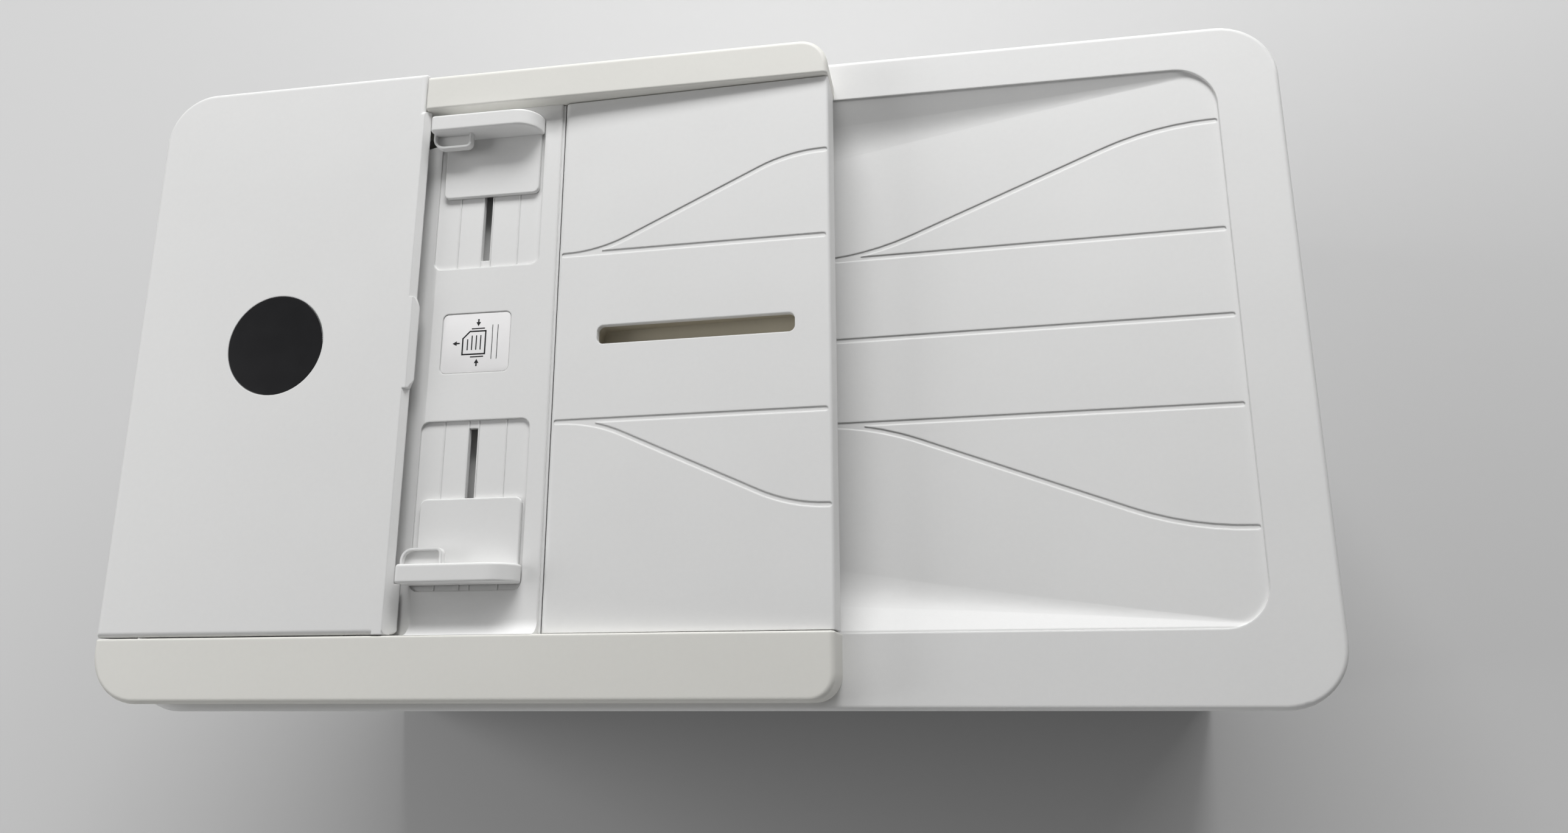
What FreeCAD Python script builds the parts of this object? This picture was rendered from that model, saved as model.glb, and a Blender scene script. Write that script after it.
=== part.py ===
import FreeCAD, Part
import math
import os

# Wide desktop inkjet printer with a flatbed scanner and a document feeder in its lid.
# Millimetres, +Z up, +X to the printer's right, -Y to its front. The origin is on the table, under the
# middle of the lid.

V = FreeCAD.Vector

# Lid, seen from above
LID_WIDTH = 585.0
LID_DEPTH = 330.0
LID_CORNER = 28.0
LID_THICK = 27.0
LID_SKIN = 3.0
LID_EDGE = 2.5

# Heights of the stack, from the table up
FOOT_HEIGHT = 5.0
BODY_HEIGHT = 193.0
SCANNER_HEIGHT = 45.0
LID_GAP = 2.0

# Feeder, in plan
FRONT_RAIL_INSET = 3.8
FRONT_RAIL_WIDTH = 30.9
BACK_RAIL_INSET = 2.5
BACK_RAIL_WIDTH = 19.5
FEEDER_LENGTH = 366.0
COVER_LENGTH = 154.0
DECK_LENGTH = 71.6
SEAM_GAP = 1.5
COVER_CORNER = 27.0
COVER_INSET = 0.5
RAIL_CORNER_LEFT = 25.0
RAIL_CORNER_RIGHT = 12.0
RAIL_CORNER_BACK = 14.0
SIDE_CLEAR = 0.5
PAPER_SHIFT = 7.95

# Feeder, upright
RAIL_HEIGHT = 28.0
RAIL_WALL = 3.0
RAIL_EDGE = 2.6
RAIL_INNER_EDGE = 1.0
DECK_DROP = 7.5
DECK_THICK = 4.0
DECK_SKIRT = 12.0
DECK_COVE = 7.0
RAMP_START = 7.5
RAMP_LENGTH = 41.0
RAMP_ANGLE = 18.0
RAMP_HOLE = 17.5

# Feeder cover
COVER_WALL = 2.5
COVER_FOOT = 1.8
COVER_EDGE = 2.6
LIP_DEPTH = 4.0
LIP_BEVEL = 2.3
LIP_WIDTH = 7.5
SKIRT_LENGTH = 24.0
SKIRT_REACH = 1.9
SKIRT_BEVEL = 4.4
SKIRT_CORNER = 5.0
TAB_LENGTH = 48.0
TAB_REACH = 1.9
TAB_SLOPE = 5.0
BADGE_RADIUS = 26.3
BADGE_DEPTH = 0.8
BADGE_PLAY = 0.2
BADGE_FROM_LEFT = 79.9
BADGE_OFF_LINE = 2.1

# Output bed in the lid
BED_RIGHT_INSET = 29.9
BED_CORNER = 20.0
BED_STEP = 0.8
BED_LEDGE = 1.0
BED_DEPTH = 19.0
BED_DEPTH_RIGHT = 0.4
BED_WALL_RUN = 2.18
BED_BLEND = 0.45
GROOVE_WIDTH = 2.3
GROOVE_DEPTH = 0.4
GROOVE_OFFSET = 43.3
GROOVE_MARGIN = 2.0
GROOVE_UNDER = 5.0
BED_CURVE_OFFSET = 100.0
BED_CURVE_RUN = 146.0
BED_CURVE_TAIL = 28.2
BED_CURVE_RADIUS = 146.0
TRAY_CURVE_OFFSET = 88.2
TRAY_CURVE_RUN = 97.9
TRAY_CURVE_TAIL = 17.7
TRAY_CURVE_RADIUS = 78.0

# Document tray
TRAY_PROUD = 0.5
TRAY_RISE = 4.0
TRAY_THICK = 3.4
TRAY_SKIRT = 20.0
TRAY_WALL = 2.5
TRAY_EDGE = 1.4
TRAY_KNUCKLE = 3.2
TRAY_PIN = 1.6
TRAY_PIN_DEPTH = 8.0
SLOT_LENGTH = 99.0
SLOT_WIDTH = 9.6
SLOT_CORNER = 3.2

# Paper guides and their recesses, measured from the paper line
RECESS_IN = 40.2
GUIDE_ROOM = 5.0
RECESS_DEPTH = 1.3
RECESS_LEFT = 5.6
RECESS_WIDTH = 57.0
RECESS_CORNER = 4.5
GUIDE_SLOT_WIDTH = 4.6
GUIDE_SLOT_IN = 44.1
GUIDE_SLOT_END = 9.7
GUIDE_SLOT_X = 33.2
RIB_SPREAD = 32.3
RIB_WIDTH = 0.6
RIB_HEIGHT = 0.4
FOOT_REACH = 32.6
FOOT_WIDTH = 51.9
FOOT_SHIFT = 1.7
FOOT_THICK = 1.9
FOOT_CORNER = 3.2
FENCE_FROM_END = 11.8
FENCE_THICK = 9.0
FENCE_LEFT = 5.0
FENCE_LENGTH = 57.4
FENCE_HEIGHT = 13.5
FENCE_NOSE = 12.0
FENCE_EDGE = 1.2
TAB_PLATE_REACH = 8.0
TAB_PLATE_LENGTH = 21.0
TAB_PLATE_ABOVE = 5.0
TAB_PLATE_THICK = 1.2
TAB_PLATE_CORNER = 6.0
TAB_RIM_HEIGHT = 3.6
TAB_RIM_THICK = 1.3
GUIDE_PLAY = 0.3
STEM_WIDTH = 3.8
STEM_BEFORE_FENCE = 15.9
STEM_LENGTH = 14.0
RACK_HEIGHT = 4.0
RACK_DROP = 1.0
RACK_DEPTH = 4.0
RACK_PAST = 14.0
PINION_TEETH = 16
GEAR_MODULE = 1.0
PINION_STUD = 2.0
LABEL_WIDTH = 36.5
LABEL_HEIGHT = 31.6
LABEL_FROM_RAMP = 5.7
LABEL_DEPTH = 0.5
LABEL_CORNER = 3.0

# Feeder chamber under the cover
CHAMBER_LEFT = 10.0
CHAMBER_RIGHT = 147.5
CHAMBER_WALL = 2.5
CHAMBER_SIDE = 1.5
CHAMBER_FLANGE = 2.5
DRUM_RADIUS = 17.0
DRUM_FROM_LEFT = 34.5
DRUM_BELOW_RIM = 4.0
DRUM_SHAFT = 4.0
PICK_FROM_MOUTH = 24.5
PICK_ABOVE_RIM = 17.6
PICK_RADIUS = 6.5
PICK_SHAFT = 3.0
PICK_TYRE_LENGTH = 22.0
PICK_TYRE_GAP = 16.0
FEEDER_BELT_WIDTH = 6.0
FEEDER_BELT_THICK = 1.2
DRUM_PULLEY = 10.0
PICK_PULLEY = 5.0
BELT_PLAY = 0.3
WINDOW_WIDTH = 16.0
WINDOW_MARGIN = 15.0
DRUM_MARGIN = 6.0
RUN_CLEAR = 0.05

# Hinges of cover and lid
COVER_AXIS_IN = 3.5
COVER_KNUCKLE = 3.4
COVER_PIN = 1.6
KNUCKLE_LENGTH = 12.0
KNUCKLE_GAP = 0.5
COVER_HINGE_SPREAD = 218.0
LID_AXIS_IN = 8.0
LID_AXIS_UP = 14.0
LID_KNUCKLE = 7.0
LID_PIN = 3.0
HINGE_FROM_SIDE = 102.5
LID_HINGE_WIDTH = 24.0
LID_HINGE_GAP = 1.0
LID_BOSS = 12.0
LID_NOTCH_ROOM = 2.0
LID_POST_BEVEL = 4.0
LID_BACK_CHAMFER = 6.0
PLATE_THICK = 2.0
PLATE_ROUNDER = 1.2
PAD_THICK = 2.0
PAD_CORNER = 3.0
PAD_MARGIN = 10.0

# Scanner
SCANNER_INSET = 3.0
SCANNER_CORNER = 25.0
SCANNER_WALL = 3.0
BEZEL_THICK = 5.0
GLASS_FROM_LEFT = 140.5
GLASS_EDGE = 13.5
GLASS_THICK = 3.0
GLASS_LAP = 4.0
GLASS_RIGHT = 9.5
SCAN_ROD = 4.0
SCAN_ROD_UP = 8.0
SCAN_BAR_WIDTH = 22.0
SCAN_BAR_HEIGHT = 20.0
SCAN_BAR_CLEAR = 4.0
SCAN_BLOCK = 30.0
SCAN_SLIT = 6.0

# Body shells
BODY_SIDE_INSET = 6.5
BODY_END_INSET = 5.0
SIDE_WALL = 3.5
FRONT_WALL = 5.0
PAN_THICK = 3.0
FOOT_RADIUS = 9.0
FOOT_INSET = 32.0

# Paper way
LEFT_ROOM = 73.5
BAY_ROOM = 15.5
BAY_HEIGHT = 64.0
BAY_WALL = 3.0
OUTPUT_PLATE = 4.0
CASSETTE_SIDE_CLEAR = 2.0
CASSETTE_PAST_PICK = 9.0
CASSETTE_WALL = 3.0
CASSETTE_SIDE_HEIGHT = 46.0
CASSETTE_BACK_HEIGHT = 20.0
CASSETTE_FLOOR_GAP = 1.0
CASSETTE_FACE = 3.0
CASSETTE_FACE_LAP = 4.0
CASSETTE_GRIP = 110.0
CASSETTE_GRIP_DROP = 18.0
SHEET_SIDE_ROOM = 288.0
SHEET_END_ROOM = 33.0
GUIDE_WALL = 3.0
CASSETTE_GUIDE_HEIGHT = 34.0
CASSETTE_GUIDE_LENGTH = 120.0
CASSETTE_GUIDE_FOOT = 22.0
CASSETTE_FOOT_THICK = 1.5
LENGTH_GUIDE_WIDTH = 60.0
CASSETTE_PLAY = 0.4
PICK_GATE = 70.0
TURN_FROM_BACK = 44.0
TURN_BELOW_FEED = 26.83
TURN_RADIUS = 22.0
TURN_SHAFT = 4.0
FEED_BEFORE_TURN = 24.0
FEED_ABOVE_OUTPUT = 18.0
FEED_RADIUS = 6.0
FEED_SHAFT = 4.0
FEED_TEETH = 24
FEED_PINION_TEETH = 12
GEAR_WIDTH = 6.0
GEAR_GAP = 2.0
EXIT_GAP = 48.0
EXIT_RADIUS = 5.0
EXIT_SHAFT = 3.0
WALL_OVER_SHAFT = 7.0
WALL_PAST_SHAFT = 14.0
PLATEN_GAP = 8.0
PLATEN_DEPTH = 32.0
PLATEN_RIBS = 15
PLATEN_RIB = 1.6
PLATEN_RISE = 20.0
PICK_BEFORE_FEED = 52.0
PICK_BELOW_OUTPUT = 10.0
PICK_BOSS = 6.0
PICK_CHEEK = 4.0
PICK_AXLE = 2.0
PICK_ARM_Y = 34.0
PICK_ARM_Z = -22.0
PICK_TYRE = 10.0
PICK_ARM_WIDTH = 44.0
EXTENSION_WIDTH = 130.0
EXTENSION_LENGTH = 146.0
EXTENSION_THICK = 3.0
STOP_LENGTH = 40.0
STOP_THICK = 2.0
STOP_PIN = 0.9
STOP_FROM_EDGE = 8.0
STOP_PIN_REACH = 4.0
EXTENSION_CORNER = 6.0

# Print engine
BEAM_CLEAR = 20.5
BEAM_PLATE = 3.0
BEAM_SHEET = 2.0
BEAM_FROM_BACK = 36.0
BEAM_ABOVE_FEED = 10.0
BEAM_ROOM = 8.0
BEAM_REACH = 32.0
ROD_BEFORE_BEAM = 20.0
ROD_ABOVE_FEED = 30.0
ROD_RADIUS = 5.0
CARRIAGE_WIDTH = 96.0
CARRIAGE_DEPTH = 72.0
CARRIAGE_BEFORE_BEAM = 10.0
CARRIAGE_ABOVE_FEED = 14.5
CARRIAGE_ROOM = 26.5
HEAD_WIDTH = 50.0
HEAD_DROP = 7.0
HEAD_MARGIN = 12.0
CLAMP_WIDTH = 20.0
CLAMP_HEIGHT = 6.0
CARRIAGE_WALL = 3.0
PARK_CLEAR = 2.0
CARRIAGE_FLOOR = 14.0
CARTRIDGE_GAP = 1.0
CARTRIDGE_ROOM = 17.5
CARTRIDGE_STEP = 8.0
CARTRIDGE_SLOTS = 5
BELT_BELOW_STRIP = 27.0
BELT_BEFORE_BEAM = 5.0
BELT_WIDTH = 5.0
BELT_THICK = 1.2
PULLEY_RADIUS = 6.0
PULLEY_FLANGE = 1.0
PULLEY_IN = 17.0
PULLEY_BORE = 2.0
MOTOR_RADIUS = 14.0
MOTOR_LENGTH = 24.0
STRIP_HEIGHT = 8.0
STRIP_THICK = 0.5
STRIP_ROOM = 21.0
SERVICE_WIDTH = 92.0
SERVICE_DEPTH = 62.0
SERVICE_MARGIN = 14.0
SERVICE_ABOVE_FEED = 4.0
SUPPLY_GAP = 21.0
SUPPLY_DEPTH = 140.0
SUPPLY_HEIGHT = 42.0
SUPPLY_CLEAR = 10.5
SUPPLY_VENTS = 12
SUPPLY_VENT = 4.0
BOARD_THICK = 1.6
BOARD_LENGTH = 190.0
BOARD_HEIGHT = 90.0
BOARD_STANDOFF = 6.0
BOARD_UP = 14.0
INLET_WIDTH = 28.0
INLET_HEIGHT = 21.0
INLET_DEPTH = 22.0
INLET_WALL = 3.0
INLET_BLADE = 2.0
PORT_WIDTH = 16.0
PORT_HEIGHT = 70.0
PORT_DEPTH = 16.0
PORT_UP = 22.0

# Front controls and doors
DOOR_PIN = 1.5
DOOR_BARREL = 2.8
DOOR_PLATE = 3.0
DOOR_RIB = 14.0
DOOR_RIB_WIDTH = 5.0
DOOR_GAP = 0.6
PANEL_MARGIN_LEFT = 7.0
PANEL_MARGIN_RIGHT = 57.0
PANEL_TOP_GAP = 9.0
PANEL_SILL = 5.0
PANEL_HEIGHT = 46.0
PANEL_DEPTH = 9.0
PANEL_GAP = 0.8
SCREEN_WIDTH = 96.0
SCREEN_HEIGHT = 36.0
SCREEN_THICK = 1.2
BUTTON_RADIUS = 6.0
BUTTON_LENGTH = 5.0
BUTTON_TRAVEL = 1.2
BUTTON_FROM_RIGHT = 26.0
BUTTON_PLAY = 0.3
DOOR_MARGIN = 8.5
DOOR_WIDTH = 148.0
DOOR_TOP_GAP = 8.0
DOOR_HEIGHT = 106.0
REAR_DOOR_DROP = 19.17
REAR_DOOR_HEIGHT = 104.0
REAR_RIBS = 7
REAR_RIB_GAP = 2.0
REAR_RIB_TOP = 75.0
REAR_RIB_MARGIN = 30.0
REAR_RIB_RISE = 30.0
REAR_RIB_WIDTH = 2.5

# Derived planes
X_LEFT = -LID_WIDTH / 2
X_RIGHT = LID_WIDTH / 2
Y_FRONT = -LID_DEPTH / 2
Y_BACK = LID_DEPTH / 2
Z_SCANNER = FOOT_HEIGHT + BODY_HEIGHT
Z_GLASS = Z_SCANNER + SCANNER_HEIGHT
Z_LID = Z_GLASS + LID_GAP
Z_RIM = Z_LID + LID_THICK
Z_RAIL = Z_RIM + RAIL_HEIGHT
Z_DECK = Z_RAIL - DECK_DROP
Z_RECESS = Z_DECK - RECESS_DEPTH
RAIL_FRONT = Y_FRONT + FRONT_RAIL_INSET
WAY_FRONT = RAIL_FRONT + FRONT_RAIL_WIDTH
RAIL_BACK = Y_BACK - BACK_RAIL_INSET
WAY_BACK = RAIL_BACK - BACK_RAIL_WIDTH
PAPER_LINE = (WAY_FRONT + WAY_BACK) / 2 + PAPER_SHIFT
RECESS_OUT = WAY_BACK - PAPER_LINE - GUIDE_ROOM
GUIDE_SLOT_OUT = RECESS_OUT - GUIDE_SLOT_END
FENCE_IN = RECESS_OUT - FENCE_FROM_END
FOOT_IN = FENCE_IN - FOOT_REACH
STEM_IN = FENCE_IN - STEM_BEFORE_FENCE
X_COVER = X_LEFT + COVER_LENGTH
X_DECK_END = X_COVER + DECK_LENGTH
X_TRAY = X_DECK_END + SEAM_GAP
X_RAIL_END = X_LEFT + FEEDER_LENGTH
X_BACK_RAIL = X_COVER - 1.5
X_BED = X_RIGHT - BED_RIGHT_INSET
X_CHAMBER = X_LEFT + CHAMBER_RIGHT + SIDE_CLEAR
X_RAMP = X_COVER + RAMP_START
Y_COVER_BACK = Y_BACK - COVER_INSET
TRAY_AXIS_X = X_TRAY + TRAY_KNUCKLE
TRAY_AXIS_Z = Z_DECK + TRAY_PROUD - TRAY_KNUCKLE
TRAY_LEFT_Z = Z_DECK + TRAY_PROUD
TRAY_RIGHT_Z = TRAY_LEFT_Z + TRAY_RISE
COVER_AXIS_X = X_LEFT + COVER_AXIS_IN
COVER_AXIS_Z = Z_RIM + COVER_FOOT + COVER_KNUCKLE
LID_AXIS_Y = Y_BACK - LID_AXIS_IN
LID_AXIS_Z = Z_LID + LID_AXIS_UP
GUIDE_X = X_COVER + GUIDE_SLOT_X
DRUM_X = X_LEFT + DRUM_FROM_LEFT
DRUM_Z = Z_RIM - DRUM_BELOW_RIM
PICK_X = X_COVER - PICK_FROM_MOUTH
PICK_Z = Z_RIM + PICK_ABOVE_RIM
X_BODY = X_RIGHT - BODY_SIDE_INSET
Y_BODY = Y_BACK - BODY_END_INSET
X_INNER = X_BODY - SIDE_WALL
Y_INNER = Y_BODY - FRONT_WALL
Z_BAY = FOOT_HEIGHT + PAN_THICK
Z_OUTPUT = Z_BAY + BAY_HEIGHT
SHEET_WIDTH = LID_WIDTH - SHEET_SIDE_ROOM
BAY_WIDTH = SHEET_WIDTH + 2 * BAY_ROOM
BAY_LEFT = -X_INNER + LEFT_ROOM
BAY_RIGHT = BAY_LEFT + BAY_WIDTH
PAPER_CENTRE = (BAY_LEFT + BAY_RIGHT) / 2
TURN_Y = Y_BODY - TURN_FROM_BACK
FEED_Y = TURN_Y - FEED_BEFORE_TURN
FEED_Z = Z_OUTPUT + FEED_ABOVE_OUTPUT
TURN_Z = FEED_Z - TURN_BELOW_FEED
EXIT_Y = FEED_Y - EXIT_GAP
PLATEN_BACK = FEED_Y - PLATEN_GAP
PLATEN_FRONT = PLATEN_BACK - PLATEN_DEPTH
PICK_PIVOT_Y = FEED_Y - PICK_BEFORE_FEED
PICK_PIVOT_Z = Z_OUTPUT - PICK_BELOW_OUTPUT
CASSETTE_BACK = PICK_PIVOT_Y + PICK_ARM_Y + CASSETTE_PAST_PICK
SHEET_DEPTH = CASSETTE_BACK + Y_BODY - SHEET_END_ROOM
BEAM_HALF = X_INNER - BEAM_CLEAR
BEAM_Y = Y_BODY - BEAM_FROM_BACK
BEAM_LOW = FEED_Z + BEAM_ABOVE_FEED
BEAM_HIGH = Z_SCANNER - BEAM_ROOM
ROD_Y = BEAM_Y - ROD_BEFORE_BEAM
ROD_Z = FEED_Z + ROD_ABOVE_FEED
CARRIAGE_BACK = BEAM_Y - CARRIAGE_BEFORE_BEAM
CARRIAGE_LOW = FEED_Z + CARRIAGE_ABOVE_FEED
CARRIAGE_HEIGHT = Z_SCANNER - CARRIAGE_ROOM - CARRIAGE_LOW
CARRIAGE_PARK = BEAM_HALF - PARK_CLEAR - CARRIAGE_WIDTH / 2
CARTRIDGE_HEIGHT = Z_SCANNER - CARTRIDGE_ROOM - CARRIAGE_LOW - CARRIAGE_FLOOR
BELT_Y = BEAM_Y - BELT_BEFORE_BEAM
PULLEY_HALF_SPAN = BEAM_HALF - PULLEY_IN
STRIP_Z = Z_SCANNER - STRIP_ROOM
BELT_Z = STRIP_Z - BELT_BELOW_STRIP
SERVICE_TOP = FEED_Z + SERVICE_ABOVE_FEED
SUPPLY_LEFT = BAY_RIGHT + SUPPLY_GAP
SUPPLY_WIDTH = X_INNER - SUPPLY_CLEAR - SUPPLY_LEFT
PANEL_LEFT = BAY_LEFT + PANEL_MARGIN_LEFT
PANEL_WIDTH = BAY_WIDTH - PANEL_MARGIN_LEFT - PANEL_MARGIN_RIGHT
PANEL_BOTTOM = Z_SCANNER - PANEL_TOP_GAP - PANEL_HEIGHT
DOOR_LEFT = X_INNER - DOOR_MARGIN - DOOR_WIDTH
DOOR_BOTTOM = Z_SCANNER - DOOR_TOP_GAP - DOOR_HEIGHT
REAR_DOOR_BOTTOM = TURN_Z - REAR_DOOR_DROP
FEED_PITCH = GEAR_MODULE * FEED_TEETH / 2
PINION_PITCH = GEAR_MODULE * PINION_TEETH / 2
TURN_TEETH = round(2 * (math.hypot(TURN_Y - FEED_Y, TURN_Z - FEED_Z) - FEED_PITCH) / GEAR_MODULE)
GEAR_X = BAY_LEFT - BAY_WALL - GEAR_GAP - GEAR_WIDTH
MOTOR_GAP = GEAR_MODULE * (FEED_TEETH + FEED_PINION_TEETH) / 2


def block(x0, x1, y0, y1, z0, z1):
    """Box between two corners."""
    return Part.makeBox(x1 - x0, y1 - y0, z1 - z0, V(x0, y0, z0))


def outline(points):
    """Closed flat face through (u, v, corner radius) points, listed anticlockwise."""
    count = len(points)
    corners = []
    for index in range(count):
        here = V(points[index][0], points[index][1], 0)
        before = V(points[index - 1][0], points[index - 1][1], 0)
        after = V(points[(index + 1) % count][0], points[(index + 1) % count][1], 0)
        radius = points[index][2] if len(points[index]) > 2 else 0.0
        back = (before - here).normalize()
        ahead = (after - here).normalize()
        half = back.getAngle(ahead) / 2
        reach = radius / math.tan(half)
        inward = (back + ahead).normalize() if radius else V(0, 0, 0)
        middle = here + inward * (radius / math.sin(half) - radius)
        corners.append((here + back * reach, middle, here + ahead * reach, radius))
    edges = []
    for index in range(count):
        start, middle, end, radius = corners[index]
        if radius:
            edges.append(Part.Arc(start, middle, end).toShape())
        following = corners[(index + 1) % count][0]
        if (following - end).Length > 1e-6:
            edges.append(Part.LineSegment(end, following).toShape())
    return Part.Face(Part.Wire(edges))


def rectangle(x0, x1, y0, y1, *radii):
    """Corner points of a rectangle, with radii front left, front right, back right, back left."""
    if len(radii) == 1:
        radii = radii * 4
    return [(x0, y0, radii[0]), (x1, y0, radii[1]), (x1, y1, radii[2]), (x0, y1, radii[3])]


def upright(points, z0, z1):
    """Outline in X and Y, raised from z0 to z1."""
    solid = outline(points).extrude(V(0, 0, z1 - z0))
    solid.translate(V(0, 0, z0))
    return solid


def along_x(points, x0, x1):
    """Outline in Y and Z, carried from x0 to x1."""
    solid = outline(points).extrude(V(0, 0, x1 - x0))
    solid.Placement = FreeCAD.Placement(V(x0, 0, 0), FreeCAD.Rotation(V(1, 1, 1), 120))
    return solid


def along_y(points, y0, y1):
    """Outline in X and Z, carried from y0 to y1."""
    solid = outline(points).extrude(V(0, 0, y1 - y0))
    solid.Placement = FreeCAD.Placement(V(0, y1, 0), FreeCAD.Rotation(V(1, 0, 0), 90))
    return solid


def rod_x(x0, x1, y, z, radius):
    """Round bar along X."""
    return Part.makeCylinder(radius, x1 - x0, V(x0, y, z), V(1, 0, 0))


def rod_y(y0, y1, x, z, radius):
    """Round bar along Y."""
    return Part.makeCylinder(radius, y1 - y0, V(x, y0, z), V(0, 1, 0))


def rod_z(z0, z1, x, y, radius):
    """Round bar along Z."""
    return Part.makeCylinder(radius, z1 - z0, V(x, y, z0), V(0, 0, 1))


def join(*shapes):
    """One solid out of pieces that touch or overlap."""
    return shapes[0].multiFuse(list(shapes[1:])).removeSplitter()


def group(*shapes):
    """Separate solids kept together."""
    return Part.makeCompound(list(shapes))


def level_edges(shape, z, keep=None):
    """Edges lying flat at height z, optionally only those whose middle passes the test keep(x, y)."""
    found = []
    for edge in shape.Edges:
        first = edge.valueAt(edge.FirstParameter)
        middle = edge.valueAt((edge.FirstParameter + edge.LastParameter) / 2)
        last = edge.valueAt(edge.LastParameter)
        if max(abs(point.z - z) for point in (first, middle, last)) < 1e-4:
            if keep is None or keep(middle.x, middle.y):
                found.append(edge)
    return found


def gear(teeth, width, bore, phase=0.0):
    """Spur gear about Z from z = 0, with straight-flanked teeth thin enough to run with play."""
    pitch = GEAR_MODULE * teeth / 2
    tip = pitch + 0.85 * GEAR_MODULE
    root = pitch - 1.15 * GEAR_MODULE
    step = 2 * math.pi / teeth
    points = []
    for tooth in range(teeth):
        middle = tooth * step + phase
        for radius, share in ((root, -0.28), (tip, -0.13), (tip, 0.13), (root, 0.28)):
            angle = middle + share * step
            points.append((radius * math.cos(angle), radius * math.sin(angle)))
    wheel = upright(points, 0, width)
    return wheel.cut(rod_z(-1, width + 1, 0, 0, bore)) if bore else wheel


def gear_x(teeth, x, y, z, bore, phase=0.0):
    """Gear about an axis along X, whose phase is measured from +Y towards +Z."""
    wheel = gear(teeth, GEAR_WIDTH, bore, phase)
    wheel.Placement = FreeCAD.Placement(V(x, y, z), FreeCAD.Rotation(V(1, 1, 1), 120))
    return wheel


def belt_loop(x0, z0, r0, x1, z1, r1, y0, y1, thick):
    """Band round two pulleys whose axes lie along Y: outer hull less inner hull."""
    bands = []
    for grow in (thick, 0.0):
        a = r0 + grow
        b = r1 + grow
        span = math.hypot(x1 - x0, z1 - z0)
        lean = math.atan2(z1 - z0, x1 - x0)
        spread = math.acos((a - b) / span)
        up = lean + spread
        down = lean - spread
        top0 = V(x0 + a * math.cos(up), z0 + a * math.sin(up), 0)
        low0 = V(x0 + a * math.cos(down), z0 + a * math.sin(down), 0)
        top1 = V(x1 + b * math.cos(up), z1 + b * math.sin(up), 0)
        low1 = V(x1 + b * math.cos(down), z1 + b * math.sin(down), 0)
        far0 = V(x0 - a * math.cos(lean), z0 - a * math.sin(lean), 0)
        far1 = V(x1 + b * math.cos(lean), z1 + b * math.sin(lean), 0)
        edges = [
            Part.Arc(top0, far0, low0).toShape(),
            Part.LineSegment(low0, low1).toShape(),
            Part.Arc(low1, far1, top1).toShape(),
            Part.LineSegment(top1, top0).toShape(),
        ]
        face = Part.Face(Part.Wire(edges))
        face.Placement = FreeCAD.Placement(V(0, y1, 0), FreeCAD.Rotation(V(1, 0, 0), 90))
        bands.append(face.extrude(V(0, y0 - y1, 0)))
    return bands[0].cut(bands[1])


def bed_space(grow=0.0):
    """The hollow of the output bed: step, ledge and sloping walls rounded into a rising floor."""
    left = X_CHAMBER - 1 - grow
    right = X_BED + grow
    front = WAY_FRONT - grow
    back = WAY_BACK + grow
    shelf = Z_RIM - BED_STEP - grow
    low = shelf - 2 * BED_DEPTH
    under = [along_y([(left, low), (right, low), (right, shelf - BED_DEPTH_RIGHT), (left, shelf - BED_DEPTH)],
                     front, back)]
    for edge_y, inward in ((front, 1), (back, -1)):
        top_y = edge_y + inward * BED_LEDGE
        foot_y = top_y + inward * BED_WALL_RUN * (shelf - low)
        under.append(along_x([(edge_y, low), (edge_y, shelf), (top_y, shelf), (foot_y, low)], left, right))
    hollow = block(left, right, front, back, low, Z_RIM + 2).cut(under)
    slope = math.atan2(1, BED_WALL_RUN)
    rounding = BED_BLEND * BED_WALL_RUN / math.tan(slope / 2)
    for side in (1, -1):
        for edge in hollow.Edges:
            ends = [vertex.Point for vertex in edge.Vertexes]
            if len(ends) < 2 or abs(ends[0].x - ends[1].x) < X_BED - X_CHAMBER:
                continue
            if max(ends[0].z, ends[1].z) > shelf - BED_DEPTH_RIGHT / 2 or side * (ends[0].y - PAPER_LINE) < 0:
                continue
            radii = [rounding * (shelf - end.z) for end in ends]
            hollow = hollow.makeFillet(radii[0], radii[1], [edge])
            break
    corner = BED_CORNER + grow
    plan = rectangle(left - 1, right, front, back, 0, corner, corner, 0)
    return hollow.common(upright(plan, low, Z_RIM + 2))


def bed_floor(x):
    """Height of the bed's floor at x."""
    share = (X_BED - x) / (X_BED - X_CHAMBER + 1)
    return Z_RIM - BED_STEP - BED_DEPTH_RIGHT - share * (BED_DEPTH - BED_DEPTH_RIGHT)


def tray_top(x):
    """Height of the document tray's upper face at x."""
    return TRAY_LEFT_Z + TRAY_RISE * (x - TRAY_AXIS_X) / (X_RAIL_END - TRAY_AXIS_X)


def straight_groove(x0, x1, y):
    """Round-ended strip along X, as a tall solid."""
    half = GROOVE_WIDTH / 2
    return upright(rectangle(x0, x1, y - half, y + half, half * 0.98), Z_LID, Z_RAIL)


def curved_groove(points, radius):
    """Round-ended strip along a path of straight runs joined by arcs, as a tall solid."""
    edges = []
    start = V(points[0][0], points[0][1], 0)
    for index in range(1, len(points) - 1):
        here = V(points[index][0], points[index][1], 0)
        back = (V(points[index - 1][0], points[index - 1][1], 0) - here).normalize()
        ahead = (V(points[index + 1][0], points[index + 1][1], 0) - here).normalize()
        half = back.getAngle(ahead) / 2
        reach = radius / math.tan(half)
        inward = (back + ahead).normalize()
        first = here + back * reach
        middle = here + inward * (radius / math.sin(half) - radius)
        last = here + ahead * reach
        edges.append(Part.LineSegment(start, first).toShape())
        edges.append(Part.Arc(first, middle, last).toShape())
        start = last
    edges.append(Part.LineSegment(start, V(points[-1][0], points[-1][1], 0)).toShape())
    strip = Part.Face(Part.Wire(edges).makeOffset2D(GROOVE_WIDTH / 2))
    strip.translate(V(0, 0, Z_LID))
    return strip.extrude(V(0, 0, Z_RAIL - Z_LID))


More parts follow.
